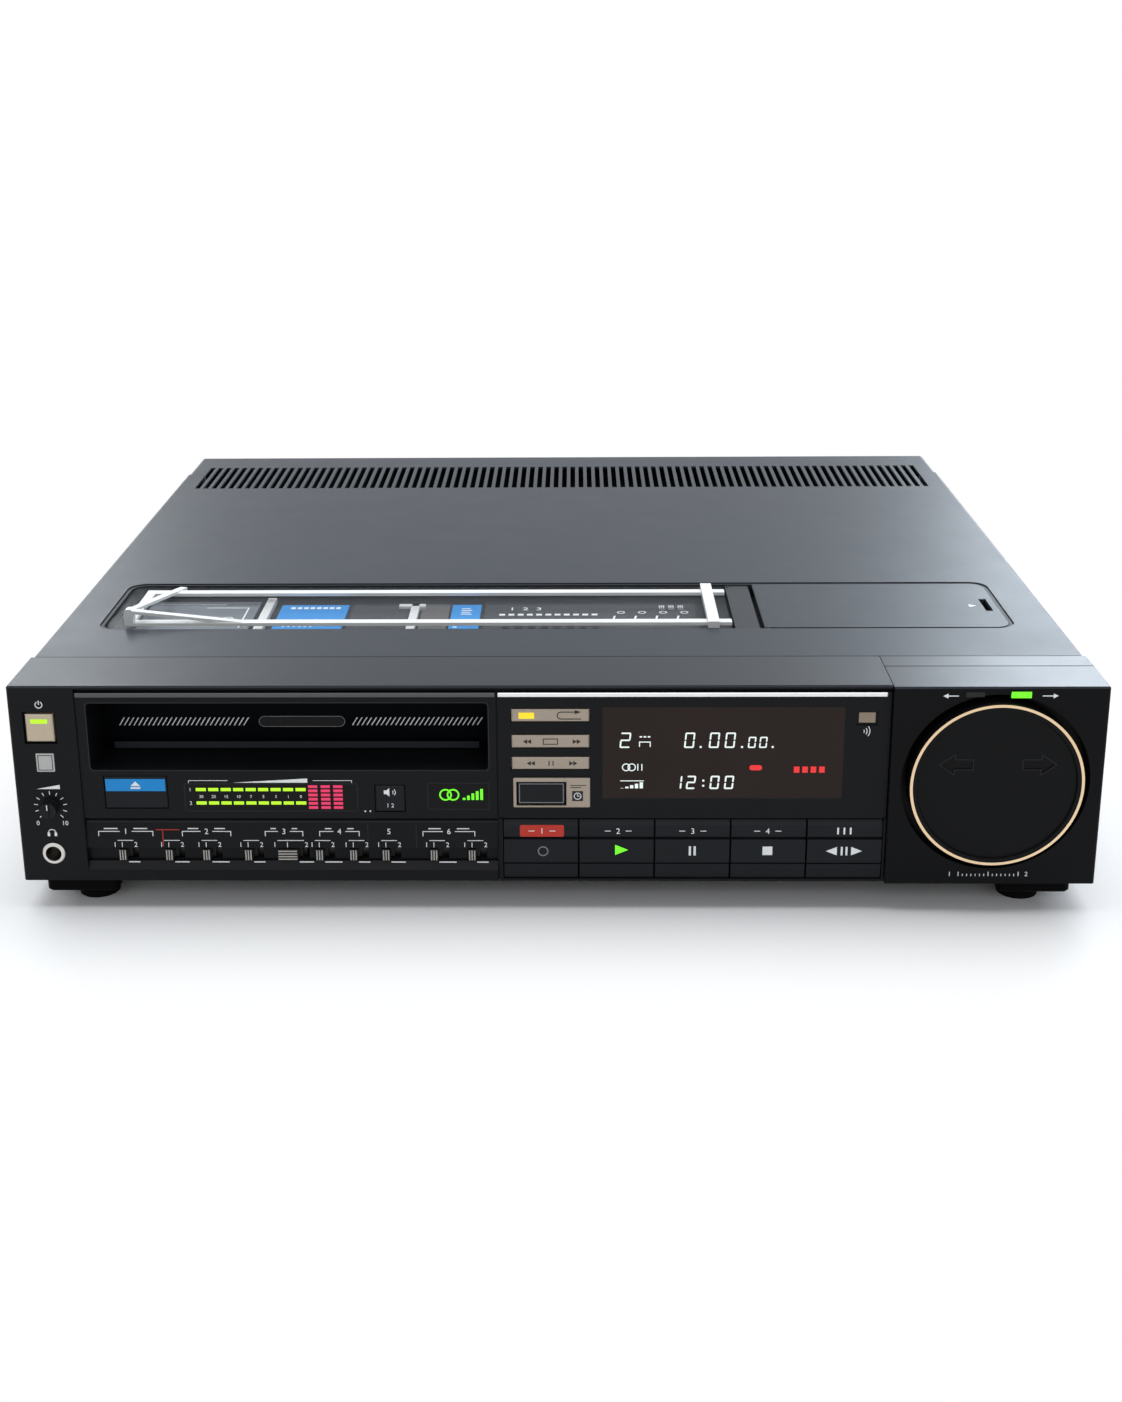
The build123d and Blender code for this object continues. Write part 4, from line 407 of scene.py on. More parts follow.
def black_rubber(name, colour):
    finish = Finish(name, Specular_IOR_Level=0.08)
    bloom = finish.cloud(240.0, 5.0, 0.65)
    finish.colour(finish.shades(bloom, colour, 0.7, 1.6))
    finish.rough(0.68 + 0.16 * bloom)
    finish.bump(finish.cells(1800.0), 0.00004)
    return finish.material


def circuit_board(name, colour, track):
    """Tracks run along two directions and change over from one patch to the next."""
    finish = Finish(name, Specular_IOR_Level=0.5)
    across = (finish.axis(0) * 1900.0).math("SINE")
    along = (finish.axis(1) * 1500.0).math("SINE")
    field = finish.cells(140.0)
    copper = (across * field + along * (1.0 - field)) > 0.45
    finish.colour(finish.blend(copper, tone(colour, 0.8), tone(track, 1.0)))
    finish.rough(0.3 + 0.15 * field)
    finish.bump(copper, 0.00003)
    return finish.material


def laminations(name, colour):
    finish = Finish(name, Specular_IOR_Level=0.4)
    stack = (finish.axis(0) * 9000.0).math("SINE")
    varnish = finish.cloud(180.0, 4.0)
    finish.colour(finish.shades(stack * 0.3 + varnish * 0.7, colour, 0.6, 1.5))
    finish.rough(0.42 + 0.2 * varnish)
    finish.bump(stack, 0.00006)
    return finish.material


smoked = smoked_acrylic("smoked window", (0.0045, 0.0045, 0.005))
display_brown = smoked_acrylic("display window", (0.012, 0.008, 0.007), (0.008, 0.0045, 0.0036))
sensor = smoked_acrylic("sensor window", (0.3, 0.24, 0.18))
clear = clear_acrylic("clear acrylic", (0.16, 0.18, 0.2), 0.02)
milky = milky_plastic("milky white plastic", (0.72, 0.73, 0.72))
reel_white = milky_plastic("reel plastic", (0.7, 0.7, 0.66), 0.38)
rubber = black_rubber("foot rubber", (0.0022, 0.0022, 0.0024))
board_green = circuit_board("lacquered board", (0.02, 0.11, 0.04), (0.12, 0.26, 0.1))
board_dark = circuit_board("dark board", (0.004, 0.005, 0.005), (0.008, 0.009, 0.009))
iron = laminations("varnished iron", (0.06, 0.05, 0.042))
print("finishes:", len(bpy.data.materials))

# %% [markdown]
# ## Finishes for the CAD nodes
#
# A CAD node keeps its mesh; it only gets a better material in its slots. Every node is named here
# once, the ones inside the machine too, because the lids open and the part is used from all sides.

# %% Give every node its finish
levers = [f"switch_lever_{number}" for number in range(1, 11)]
keys = ["key_record", "key_play", "key_pause", "key_stop", "key_frame"]
WEAR = {
    cover_slate: ["top_cover", "preset_lid"],
    face_black: ["front_fascia"],
    housing_black: ["dial_housing"],
    dial_black: ["jog_dial"],
    key_black: keys + ["eject_button", "monitor_button", "timer_button", "level_knob"],
    champagne: ["tape_return_button", "search_bar_upper", "search_bar_lower", "timer_bezel"],
    lever_grey: levers,
    champagne_bright: ["power_button"],
    ring_gold: ["dial_ring"],
    smoked: ["meter_window", "stereo_window"],
    display_brown: ["display_window"],
    sensor: ["remote_window"],
    door_black: ["cassette_door"],
    tray_black: ["bay_tray"],
    clear: ["clear_cover"],
    milky: ["cover_rails"],
    zinc: ["base_pan", "deck_plate", "holder_sled", "cassette_cage", "tuner_box"],
    rear_black: ["rear_panel", "rear_sockets"],
    plug_metal: ["phones_jack"],
    screw_metal: ["cover_screws"],
    foot_black: ["foot_blocks"],
    rubber: ["rubber_feet", "pinch_roller"],
    drum_metal: ["lower_drum", "upper_drum", "loading_ring"],
    wheel_metal: ["capstan_flywheel"],
    reel_white: ["supply_reel", "takeup_reel"],
    board_green: ["main_board", "power_board"],
    board_dark: ["front_board"],
    iron: ["transformer"],
}
dressed = set()
for finish, names in WEAR.items():
    for name in names:
        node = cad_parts[name]
        if not node.material_slots:
            node.data.materials.append(finish)
        for each in node.material_slots:
            each.material = finish
        dressed.add(name)
print("nodes dressed:", len(dressed), "left:", sorted(set(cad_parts) - dressed))

# %% [markdown]
# ## Printed marks
#
# Printing is made as very thin closed plates that stand a few hundredths of a millimetre proud, so
# they stay crisp at any size and are plain meshes. `Marks` gathers filled outlines, stroked lines
# and plain numbers on one surface and turns them into one piece. Its drawing methods return the
# drawing itself, so that a short one fits on one line.


# %% Outlines in panel millimetres
def arc(centre, radius, start, turn, steps=28):
    """Points along an arc; 0 degrees is to the right, 90 is up."""
    cu, cv = centre
    angles = [math.radians(start + turn * k / steps) for k in range(steps + 1)]
    return [(cu + radius * math.cos(a), cv - radius * math.sin(a)) for a in angles]


def square(u0, u1, v0, v1):
    return [(u0, v0), (u1, v0), (u1, v1), (u0, v1)]


def pill(left, right, down, radius):
    """A long outline with round ends, between the middles of the ends."""
    return arc((left, down), radius, 90, 180, 8) + arc((right, down), radius, 270, 180, 8)


def rounded(u0, u1, v0, v1, radius, steps):
    """A rectangle with round corners, between the middles of the corner arcs."""
    corners = ((u0, v0, 90), (u0, v1, 180), (u1, v1, 270), (u1, v0, 0))
    return [point for u, v, first in corners for point in arc((u, v), radius, first, 90, steps)]


print("a rounded outline has", len(rounded(0, 10, 0, 5, 1, 6)), "points")


# %% A drawing board for thin marks
SAME_POINT = 1e-7
SHARPEST_MITRE = 0.35
LETTER_RISE = 0.7


class Marks:
    """Thin raised shapes on one surface."""

    def __init__(self, place, thick=0.05):
        self.place = place
        self.thick = thick
        self.corners = []
        self.faces = []

    def fill(self, outline):
        first, count = len(self.corners), len(outline)
        for lift in (self.thick, -self.thick):
            self.corners += [self.place(u, v, lift) for u, v in outline]
        self.faces.append([first + k for k in range(count)])
        self.faces.append([first + count + k for k in reversed(range(count))])
        for k in range(count):
            after = (k + 1) % count
            self.faces.append([first + k, first + count + k, first + count + after, first + after])
        return self

    def box(self, u0, u1, v0, v1):
        return self.fill(square(u0, u1, v0, v1))

    def disc(self, centre, radius):
        return self.fill(arc(centre, radius, 0, 360, 24)[:-1])

    def line(self, points, width, closed=False):
        """A stroked line with mitred corners."""
        count = len(points)
        first = len(self.corners)
        for k, (u, v) in enumerate(points):
            before = points[k - 1] if k or closed else points[k]
            after = points[(k + 1) % count] if k < count - 1 or closed else points[k]
            ways = []
            for a, b in ((before, (u, v)), ((u, v), after)):
                way = Vector((b[0] - a[0], b[1] - a[1]))
                if way.length > SAME_POINT:
                    ways.append(way.normalized())
            middle = sum(ways, Vector((0, 0))).normalized()
            across = Vector((-middle.y, middle.x))
            upright = Vector((-ways[0].y, ways[0].x))
            reach = width / 2 / max(SHARPEST_MITRE, across.dot(upright))
            for side in (reach, -reach):
                for lift in (self.thick, -self.thick):
                    self.corners.append(self.place(u + side * across.x, v + side * across.y, lift))
        for k in range(count if closed else count - 1):
            a, b = first + 4 * k, first + 4 * ((k + 1) % count)
            for i, j in ((0, 2), (2, 3), (3, 1), (1, 0)):
                self.faces.append([a + i, a + j, b + j, b + i])
        if not closed:
            for a in (first, first + 4 * (count - 1)):
                self.faces.append([a, a + 2, a + 3, a + 1])
        return self

    def dash(self, u0, u1, v, width):
        return self.line([(u0, v), (u1, v)], width)

    def post(self, u, v0, v1, width):
        return self.line([(u, v0), (u, v1)], width)

    def outline(self, u0, u1, v0, v1, width):
        return self.line(square(u0, u1, v0, v1), width, closed=True)

    def ring(self, centre, radius, width):
        return self.line(arc(centre, radius, 0, 360, 32)[:-1], width, closed=True)

    def number(self, words, u, v, height):
        """Plain figures, centred on u, with their foot at v."""
        curve = bpy.data.curves.new("figures", "FONT")
        curve.body = words
        curve.size = height / LETTER_RISE
        curve.align_x = "CENTER"
        curve.resolution_u = 3
        curve.extrude = 1.0
        holder = bpy.data.objects.new("figures", curve)
        mesh = bpy.data.meshes.new_from_object(holder)
        first = len(self.corners)
        for vertex in mesh.vertices:
            x, y, z = vertex.co
            self.corners.append(self.place(u + x, v - y, self.thick if z > 0 else -self.thick))
        for polygon in mesh.polygons:
            self.faces.append([first + k for k in polygon.vertices])
        bpy.data.objects.remove(holder)
        bpy.data.curves.remove(curve)
        bpy.data.meshes.remove(mesh)
        return self

    def make(self, name, finish, body="chassis"):
        draft = bpy.data.meshes.new("draft")
        draft.from_pydata([tuple(c) for c in self.corners], [], self.faces)
        shape = bmesh.new()
        shape.from_mesh(draft)
        bpy.data.meshes.remove(draft)
        bmesh.ops.remove_doubles(shape, verts=shape.verts, dist=SAME_POINT)
        return add_piece(name, shape, finish, body)


def on(behind, thick=0.05):
    """Marks on the flat face that lies this far behind the front."""
    return Marks(lambda u, v, lift: spot(u, v, behind - lift), thick)


print("drawing board ready")

# %% [markdown]
# ## Inks and lamps
#
# Screen-printed ink is flat and a little uneven in cover. A lit segment is a lamp behind a mask:
# it is made as a surface that gives off its own colour, with slightly brighter middles.


# %% Ink and lamp recipes
def printed_ink(name, colour):
    finish = Finish(name, Specular_IOR_Level=0.2)
    cover = finish.cloud(1500.0, 3.0)
    finish.colour(finish.shades(cover, colour, 0.8, 1.08))
    finish.rough(0.55 + 0.1 * cover)
    return finish.material


def lit(name, colour, strength):
    finish = Finish(name, Specular_IOR_Level=0.3, Emission_Strength=strength)
    spread = finish.cloud(700.0, 2.0)
    finish.colour(tone(colour, 0.5))
    finish.feed(finish.shader.inputs["Emission Color"], finish.shades(spread, colour, 0.85, 1.1))
    finish.rough(0.3 + 0.1 * spread)
    return finish.material


white_ink = printed_ink("white ink", (0.86, 0.88, 0.88))
grey_ink = printed_ink("grey ink", (0.22, 0.23, 0.24))
dark_ink = printed_ink("dark ink", (0.03, 0.028, 0.026))
red_ink = printed_ink("red ink", (0.55, 0.045, 0.03))
blue_ink = printed_ink("blue card", (0.018, 0.27, 0.68))
slate_card = printed_ink("slate card", (0.032, 0.036, 0.043))
warm_card = printed_ink("warm grey card", (0.1, 0.095, 0.095))
badge_ink = printed_ink("badge plate", (0.5, 0.5, 0.48))
lime_lamp = lit("lime lamp", (0.45, 0.85, 0.02), 0.9)
green_lamp = lit("green lamp", (0.16, 0.9, 0.02), 0.9)
yellow_lamp = lit("yellow lamp", (0.85, 0.62, 0.02), 0.9)
red_lamp = lit("red lamp", (0.75, 0.03, 0.03), 0.8)
pink_lamp = lit("meter red lamp", (0.7, 0.035, 0.12), 0.8)
white_lamp = lit("display white", (0.75, 0.83, 0.8), 0.8)
# A grey for lines and bands where edges catch light: painted highlight.
painted_edge_highlight = printed_ink("worn edge", (0.022, 0.025, 0.031))
dead_lamp = printed_ink("unlit lamp", (0.02, 0.022, 0.022))
# A grey a little lighter than the dial, for the engraved arrow edges: painted highlight.
painted_arrow_highlight = printed_ink("arrow edge", (0.016, 0.0165, 0.018))
print("inks and lamps done")

# %% [markdown]
# ## Rows, rings and screw heads from Geometry Nodes
#
# Much of this machine is the same small thing again and again: slanted strokes on the cassette
# door, bars of the level meter, ticks round a knob, screws. Three node groups make them all. A row
# puts a block on each point of a line; a ring puts it round a circle; the third makes screw heads
# with a cross recess. Each ends in Realize Instances and Set Material and is then turned into a
# plain mesh.


# %% What the three groups share
def new_group(name, **inputs):
    """A node group whose inputs are given as label = (kind, default)."""
    tree = bpy.data.node_groups.new(name, "GeometryNodeTree")
    for label, (kind, value) in inputs.items():
        socket = tree.interface.new_socket(label, in_out="INPUT", socket_type="NodeSocket" + kind)
        if value is not None:
            socket.default_value = value
    tree.interface.new_socket("Geometry", in_out="OUTPUT", socket_type="NodeSocketGeometry")
    entry = tree.nodes.new("NodeGroupInput")
    board = Board(tree)
    return board, {label: Wire(board, entry.outputs[label]) for label in inputs}


def finish_group(board, geometry, finish):
    real = board.node("GeometryNodeRealizeInstances", {}, {"Geometry": geometry})
    done = board.node("GeometryNodeSetMaterial", {}, {"Geometry": real, "Material": finish})
    leave = board.tree.nodes.new("NodeGroupOutput")
    board.feed(leave.inputs["Geometry"], done)
    return board.tree


def vector_of(board, x, y, z):
    return board.node("ShaderNodeCombineXYZ", {}, {0: x, 1: y, 2: z})


def block_of(board, size):
    return board.node("GeometryNodeMeshCube", {}, {"Size": size})


def line_of(board, count, offset, start=(0, 0, 0)):
    sockets = {"Count": count, "Start Location": start, "Offset": offset}
    return board.node("GeometryNodeMeshLine", {"mode": "OFFSET"}, sockets)


def copies_of(board, points, instance, rotation=(0, 0, 0)):
    sockets = {"Points": points, "Instance": instance, "Rotation": rotation}
    return board.node("GeometryNodeInstanceOnPoints", {}, sockets)


INTEGER, VECTOR = ("Int", 3), ("Vector", None)
LENGTH, ANGLE, MATERIAL = ("Float", 0.01), ("Float", 0.0), ("Material", None)
print("group helpers ready")

# %% [markdown]
# In a row, `Lean` slants the blocks: each point moves sideways by its height over the start.

# %% The row
board, wire = new_group(
    "Row of bars", Count=INTEGER, Start=VECTOR, Step=VECTOR, Size=VECTOR, Lean=ANGLE, Finish=MATERIAL
)
row_line = line_of(board, wire["Count"], wire["Step"], wire["Start"])
row_copies = copies_of(board, row_line, block_of(board, wire["Size"]))
row_real = board.node("GeometryNodeRealizeInstances", {}, {"Geometry": row_copies})
row_place = board.node("GeometryNodeInputPosition")
row_up, row_base = (
    board.node("ShaderNodeSeparateXYZ", {}, {0: place}, out=2) for place in (row_place, wire["Start"])
)
row_shift = vector_of(board, (row_up - row_base) * wire["Lean"], 0.0, 0.0)
row_leant = board.node("GeometryNodeSetPosition", {}, {"Geometry": row_real, "Offset": row_shift})
row_group = finish_group(board, row_leant, wire["Finish"])
print("group:", row_group.name)

# %% [markdown]
# A ring starts as points in one place. Each moves out by the cosine and sine of its own angle.

# %% The ring
board, wire = new_group(
    "Ring of bars", Count=INTEGER, Centre=VECTOR, Radius=LENGTH, First=ANGLE, Turn=ANGLE, Size=VECTOR,
    Finish=MATERIAL,
)
ring_points = line_of(board, wire["Count"], (0, 0, 0))
ring_angle = wire["First"] + board.node("GeometryNodeInputIndex") * wire["Turn"]
ring_x, ring_z = (ring_angle.math(wave) * wire["Radius"] for wave in ("COSINE", "SINE"))
ring_sum = {0: vector_of(board, ring_x, 0.0, ring_z), 1: wire["Centre"]}
ring_spot = board.node("ShaderNodeVectorMath", {"operation": "ADD"}, ring_sum)
ring_set = board.node("GeometryNodeSetPosition", {}, {"Geometry": ring_points, "Position": ring_spot})
ring_turn = vector_of(board, 0.0, -1.0 * ring_angle, 0.0)
ring_copies = copies_of(board, ring_set, block_of(board, wire["Size"]), ring_turn)
ring_group = finish_group(board, ring_copies, wire["Finish"])
print("group:", ring_group.name)

# %% [markdown]
# A screw head is a low cone from which two crossed blades are cut away.

# %% The screw heads
DOME_TOP, BLADE_REACH, BLADE_WIDTH, BLADE_DEPTH = 0.72, 1.05, 0.22, 1.4
board, wire = new_group(
    "Screw heads", Count=INTEGER, Start=VECTOR, Step=VECTOR, Turn=VECTOR, Radius=LENGTH, Height=LENGTH,
    Finish=MATERIAL,
)
dome = {"Vertices": 40, "Radius Top": wire["Radius"] * DOME_TOP}
dome.update({"Radius Bottom": wire["Radius"], "Depth": wire["Height"]})
screw_dome = board.node("GeometryNodeMeshCone", {}, dome)
screw_cut = board.node("GeometryNodeMeshBoolean", {"operation": "DIFFERENCE"}, {0: screw_dome})
lift = vector_of(board, 0.0, 0.0, wire["Height"])
for x, y in ((BLADE_WIDTH, BLADE_REACH), (BLADE_REACH, BLADE_WIDTH)):
    size = vector_of(board, wire["Radius"] * x, wire["Radius"] * y, wire["Height"] * BLADE_DEPTH)
    lifted = {"Geometry": block_of(board, size), "Translation": lift}
    blade = board.node("GeometryNodeTransform", {}, lifted)
    board.feed(screw_cut.socket.node.inputs["Mesh 2"], blade)
screw_line = line_of(board, wire["Count"], wire["Step"], wire["Start"])
screw_group = finish_group(board, copies_of(board, screw_line, screw_cut, wire["Turn"]), wire["Finish"])
print("group:", screw_group.name)

# %% [markdown]
# A group's inputs are set on the modifier by the socket's identifier. Then `new_from_object` reads
# the evaluated result, so the finished piece is an ordinary mesh with no modifier left on it.


# %% Grow a mesh from a group
def grow(name, recipes, body="chassis"):
    """One piece from one or more (group, settings) recipes."""
    shape = bmesh.new()
    for group, settings in recipes:
        seed = bpy.data.objects.new(name + ".seed", bpy.data.meshes.new(name + ".seed"))
        bpy.context.scene.collection.objects.link(seed)
        modifier = seed.modifiers.new("grow", "NODES")
        modifier.node_group = group
        for item in group.interface.items_tree:
            if item.in_out == "INPUT" and item.name in settings:
                modifier[item.identifier] = settings[item.name]
        bpy.context.view_layer.update()
        depsgraph = bpy.context.evaluated_depsgraph_get()
        grown = bpy.data.meshes.new_from_object(seed.evaluated_get(depsgraph))
        shape.from_mesh(grown)
        bpy.data.objects.remove(seed)
        bpy.data.meshes.remove(grown)
    return add_piece(name, shape, settings["Finish"], body)


def metres(size):
    return tuple(v / 1000 for v in size)


def row(count, start, step, size, finish, lean=0.0):
    """A row of blocks; start is a spot, step and size are in millimetres."""
    settings = {"Count": count, "Start": tuple(start), "Step": metres(step), "Size": metres(size)}
    return row_group, {**settings, "Lean": lean, "Finish": finish}


def ring(count, centre, radius, first, turn, size, finish):
    """Blocks round a circle; centre is a spot, angles are in degrees, the rest in millimetres."""
    settings = {"Count": count, "Centre": tuple(centre), "Radius": radius / 1000}
    settings.update({"First": math.radians(first), "Turn": math.radians(turn)})
    return ring_group, {**settings, "Size": metres(size), "Finish": finish}


def screws(count, start, step, turn):
    """A row of screw heads, turned to face outwards."""
    settings = {"Count": count, "Start": tuple(start), "Step": metres(step), "Turn": turn}
    return screw_group, {**settings, "Radius": 0.0036, "Height": 0.001, "Finish": screw_metal}


print("grow ready")

# %% [markdown]
# ## The cassette door
#
# Behind the throat, two fields of slanted strokes are printed on the door with a plain strip
# between them. A row of leaning blocks makes each field. The place between them, where a maker
# would print a name, is a bare glossy plate with a fine outline.

# %% Strokes and plate on the door
STROKES_DOWN = 23.8
fields = [spot(first, STROKES_DOWN, DOOR_FACE) for first in (-176.2, -81.2)]
strokes = [row(27, start, (1.95, 0, 0), (0.5, 0.1, 3.4), white_ink, lean=0.62) for start in fields]
grow("door_strokes", strokes, "door")
name_place = pill(-118.0, -87.5, STROKES_DOWN, 2.2)
on(DOOR_FACE, 0.12).fill(name_place).make("door_plate", smoked, "door")
on(DOOR_FACE, 0.16).line(name_place, 0.25, closed=True).make("door_plate_outline", grey_ink, "door")
# A lighter band on the door's rib: painted highlight, where the rib catches light.
on(DOOR_RIB_FACE, 0.06).box(-179.6, -30.8, 32.0, 34.8).make("door_rib_painted_highlight", painted_edge_highlight, "door")
# Lighter lines round the cassette opening and the meter and stereo windows: painted highlight on their
# edges.
edges = on(WINDOW_FACE, 0.04)
edges.line(rounded(-182.9, -27.5, 8.8, 34.3, 1.6, 6), 0.3, closed=True)
edges.outline(-50.4, -26.1, 41.3, 52.5, 0.22).outline(-147.4, -78.5, 41.6, 53.3, 0.22)
edges.make("opening_edge_highlights", painted_edge_highlight)

# %% [markdown]
# ## Trim strips
#
# Two thin metal strips close the shadow groove under the cap. They stand for the chamfer of a
# shallow step that catches light: a dark one over the cassette side, whose colour is painted shade,
# and a bright one over the display side, whose colour is painted highlight. Each is a bar with
# bevelled edges, so it catches a line of light.


# %% Bars with bevelled edges
def bar(name, place, bevel, finish, body="chassis", segments=2):
    """A block with rounded edges; place is left, right, top, foot, front and back."""
    left, right, top, foot, front, back = place
    shape = bmesh.new()
    bmesh.ops.create_cube(shape, size=1.0)
    low, high = spot(left, foot, front), spot(right, top, back)
    for vertex in shape.verts:
        vertex.co = Vector(low[k] + (vertex.co[k] + 0.5) * (high[k] - low[k]) for k in range(3))
    settings = {"offset": bevel / 1000, "segments": segments, "affect": "EDGES", "profile": 0.5}
    bmesh.ops.bevel(shape, geom=shape.edges[:], **settings)
    return add_piece(name, shape, finish, body)


# The left strip's dark colour is painted shade, the right strip's bright colour painted highlight.
bar("trim_left", (-188.0, -23.2, 2.9, 4.8, 0.15, 1.2), 0.25, trim_painted_shade)
bar("trim_right", (-22.1, 129.5, 2.9, 4.7, 0.1, 1.2), 0.25, trim_painted_highlight)

# %% [markdown]
# ## The left column
#
# From the top: the power button with its lamp, a bare badge plate, the level knob with its ticks,
# and the headphone socket. Words are not used; the places carry the plain signs that many makers
# share, such as the broken ring with a bar for power and the growing wedge for level.

# %% Signs, ticks and lamp of the left column
bar("power_lamp", (-206.2, -199.5, 13.7, 15.5, -0.42, 0.2), 0.15, lime_lamp, "power_push")
column = on(0.0)
column.line(arc((-202.4, 7.7), 1.35, 62, -304, 26), 0.34).post(-202.4, 5.9, 7.7, 0.36)
column.fill([(-206.4, 43.5), (-197.0, 41.7), (-197.0, 43.5)])
column.number("0", -207.1, 59.2, 1.9).number("10", -196.2, 59.2, 1.9)
column.line(arc((-201.8, 62.6), 1.5, 180, -180, 16), 0.32)
column.box(-203.7, -202.7, 62.4, 64.0).box(-200.9, -199.9, 62.4, 64.0)
column.make("column_signs", white_ink)
bar("badge_plate", (-205.4, -198.2, 28.2, 36.0, BADGE_FACE, 0.4), 0.2, badge_ink)
on(BADGE_FACE, 0.04).outline(-204.6, -199.0, 29.0, 35.2, 0.3).make("badge_outline", dark_ink)
KNOB, RIDGES = (-201.4, 51.1), 28
grow("knob_ticks", [ring(11, spot(*KNOB, 0.0), 5.9, -45.0, 27.0, (1.5, 0.1, 0.32), white_ink)])
knurl = ring(RIDGES, spot(*KNOB, -2.6), 3.25, 0.0, 360.0 / RIDGES, (0.4, 3.8, 0.32), housing_black)
grow("knob_knurl", [knurl], "knob")
bar("knob_pointer", (-201.6, -201.2, 48.3, 50.6, -5.45, -5.0), 0.05, white_ink, "knob", 1)

# %% [markdown]
# ## Eject button, meter and stereo window
#
# The level meter has two rows of lime bars and three red columns behind a smoked window. Bars come
# from one group; the small figures between the rows are plain numbers.

# %% The eject button
on(BUTTON_FACE, 0.06).box(-178.8, -154.9, 39.4, 44.6).make("eject_band", blue_ink, "eject_push")
eject_sign = on(BUTTON_FACE, 0.12)
eject_sign.fill([(-168.8, 42.4), (-166.85, 40.4), (-164.9, 42.4)])
eject_sign.box(-168.8, -164.9, 42.9, 43.6).make("eject_sign", white_ink, "eject_push")

# %% The level meter
METER_LEFT, BAR_STEP = -140.9, 4.98
starts = [spot(METER_LEFT, down, WINDOW_FACE) for down in (44.05, 49.85)]
grow("meter_bars", [row(9, start, (BAR_STEP, 0, 0), (4.05, 0.12, 1.35), lime_lamp) for start in starts])
starts = [spot(across, 42.8, WINDOW_FACE) for across in (-96.2, -91.2, -86.2)]
grow("meter_red_bars", [row(6, start, (0, 0, -1.8), (3.7, 0.12, 1.15), pink_lamp) for start in starts])
figures = on(WINDOW_FACE)
for k, words in enumerate(("30", "20", "15", "10", "7", "5", "3", "1", "0")):
    figures.number(words, METER_LEFT + BAR_STEP * k, 47.7, 1.25)
figures.number("1", -145.2, 44.8, 1.5).number("2", -145.2, 50.6, 1.5).make("meter_figures", white_ink)
heading = on(WINDOW_FACE)
for edge, inner in ((-145.6, -130.0), (-80.6, -96.0)):
    heading.line([(edge, 41.2), (edge, 40.2), (inner, 40.2)], 0.22)
heading.fill([(-128.0, 41.1), (-98.2, 39.3), (-98.2, 41.1)])
heading.disc((-75.6, 53.4), 0.35).disc((-73.6, 53.4), 0.35).make("meter_heading", white_ink)

# %% The monitor button and the stereo window
speaker = [(-67.9, 44.3), (-66.9, 44.3), (-65.7, 43.3), (-65.7, 46.9), (-66.9, 45.9), (-67.9, 45.9)]
monitor = on(BUTTON_FACE).fill(speaker)
for radius in (1.0, 1.9):
    monitor.line(arc((-65.2, 45.1), radius, -42, 84, 8), 0.28)
monitor.number("1 2", -65.5, 51.6, 1.7).make("monitor_sign", white_ink, "monitor_push")
stereo = on(WINDOW_FACE).ring((-43.4, 46.3), 2.2, 0.62).ring((-40.4, 46.3), 2.2, 0.62)
for k in range(5):
    stereo.box(-36.6 + 1.75 * k, -35.5 + 1.75 * k, 47.6 - 0.95 * k, 48.5)
stereo.make("stereo_sign", green_lamp)

# %% [markdown]
# ## The switch strip
#
# Ten slide switches sit in a channel under a sloping printed face. Each switch gets plain position
# numbers and ticks, and each group of switches a bracket with its number, so that the strip is as
# busy as the real one without any of its words. The marks follow the slope.


# %% Marks that follow the sloping faces
def strip_face(u, v, lift):
    return spot(u, v, 2.0 - (v - 58.0) * 1.1 / 11.5 - lift)


def ledge_face(u, v, lift):
    return spot(u, v, 2.2 - (v - 75.7) * 1.9 / 3.4 - lift)


LEVER_PLACES = (-174.2, -155.4, -140.3, -123.4, -107.5, -94.7, -81.0, -67.9, -48.6, -33.3)
WIDE_LEVER = 4
GROUPS = (
    (-183.5, -161.6), (-149.7, -130.2), (-116.3, -101.2), (-94.4, -78.5), (-70.5, -62.6), (-52.9, -32.1)
)
strip = Marks(strip_face)
for number, (left, right) in enumerate(GROUPS, start=1):
    middle = (left + right) / 2
    strip.number(str(number), middle, 63.7, 2.3)
    if right - left > 10:
        for side, end in ((-1, left), (1, right)):
            strip.line([(end, 64.6), (end, 62.6), (middle + side * 2.4, 62.6)], 0.3)
            strip.dash(end - side * 2.2, middle + side * 3.2, 61.4, 0.42)
for number, across in enumerate(LEVER_PLACES):
    reach = 5.1 if number == WIDE_LEVER else 2.9
    strip.number("1", across - reach, 69.1, 2.0).number("2", across + reach + 2.6, 69.1, 2.0)
    strip.post(across, 67.2, 69.2, 0.28)
    strip.dash(across - reach + 1.1, across + reach + 1.6, 66.4, 0.26)
strip.make("strip_marks", white_ink)
# The lighter dash along the top of the strip is painted highlight on its edge; the two posts are divider
# lines in the same grey.
strip_highlight_and_dividers = Marks(strip_face).dash(-188.0, -22.8, 58.5, 0.3)
strip_highlight_and_dividers.post(-75.0, 59.2, 69.2, 0.22).post(-55.6, 59.2, 69.2, 0.22)
strip_highlight_and_dividers.make("strip_highlight_and_dividers", painted_edge_highlight)
red_line = Marks(strip_face).dash(-160.4, -150.9, 61.9, 0.34).post(-157.6, 61.9, 68.8, 0.34)
red_line.make("strip_red_line", red_ink)
ledge = Marks(ledge_face)
for number, across in enumerate(LEVER_PLACES):
    near = across + (4.4 if number == WIDE_LEVER else 1.9)
    ledge.dash(near, near + 4.6 + 1.2 * (number % 3), 76.2, 0.4)
ledge.make("ledge_marks", white_ink)

# %% [markdown]
# Each switch knob is ribbed, so that a fingertip holds it: three upright ribs on a narrow knob, four
# level ones on the wide knob. The ribs are paler than the knob. They ride on their own lever.

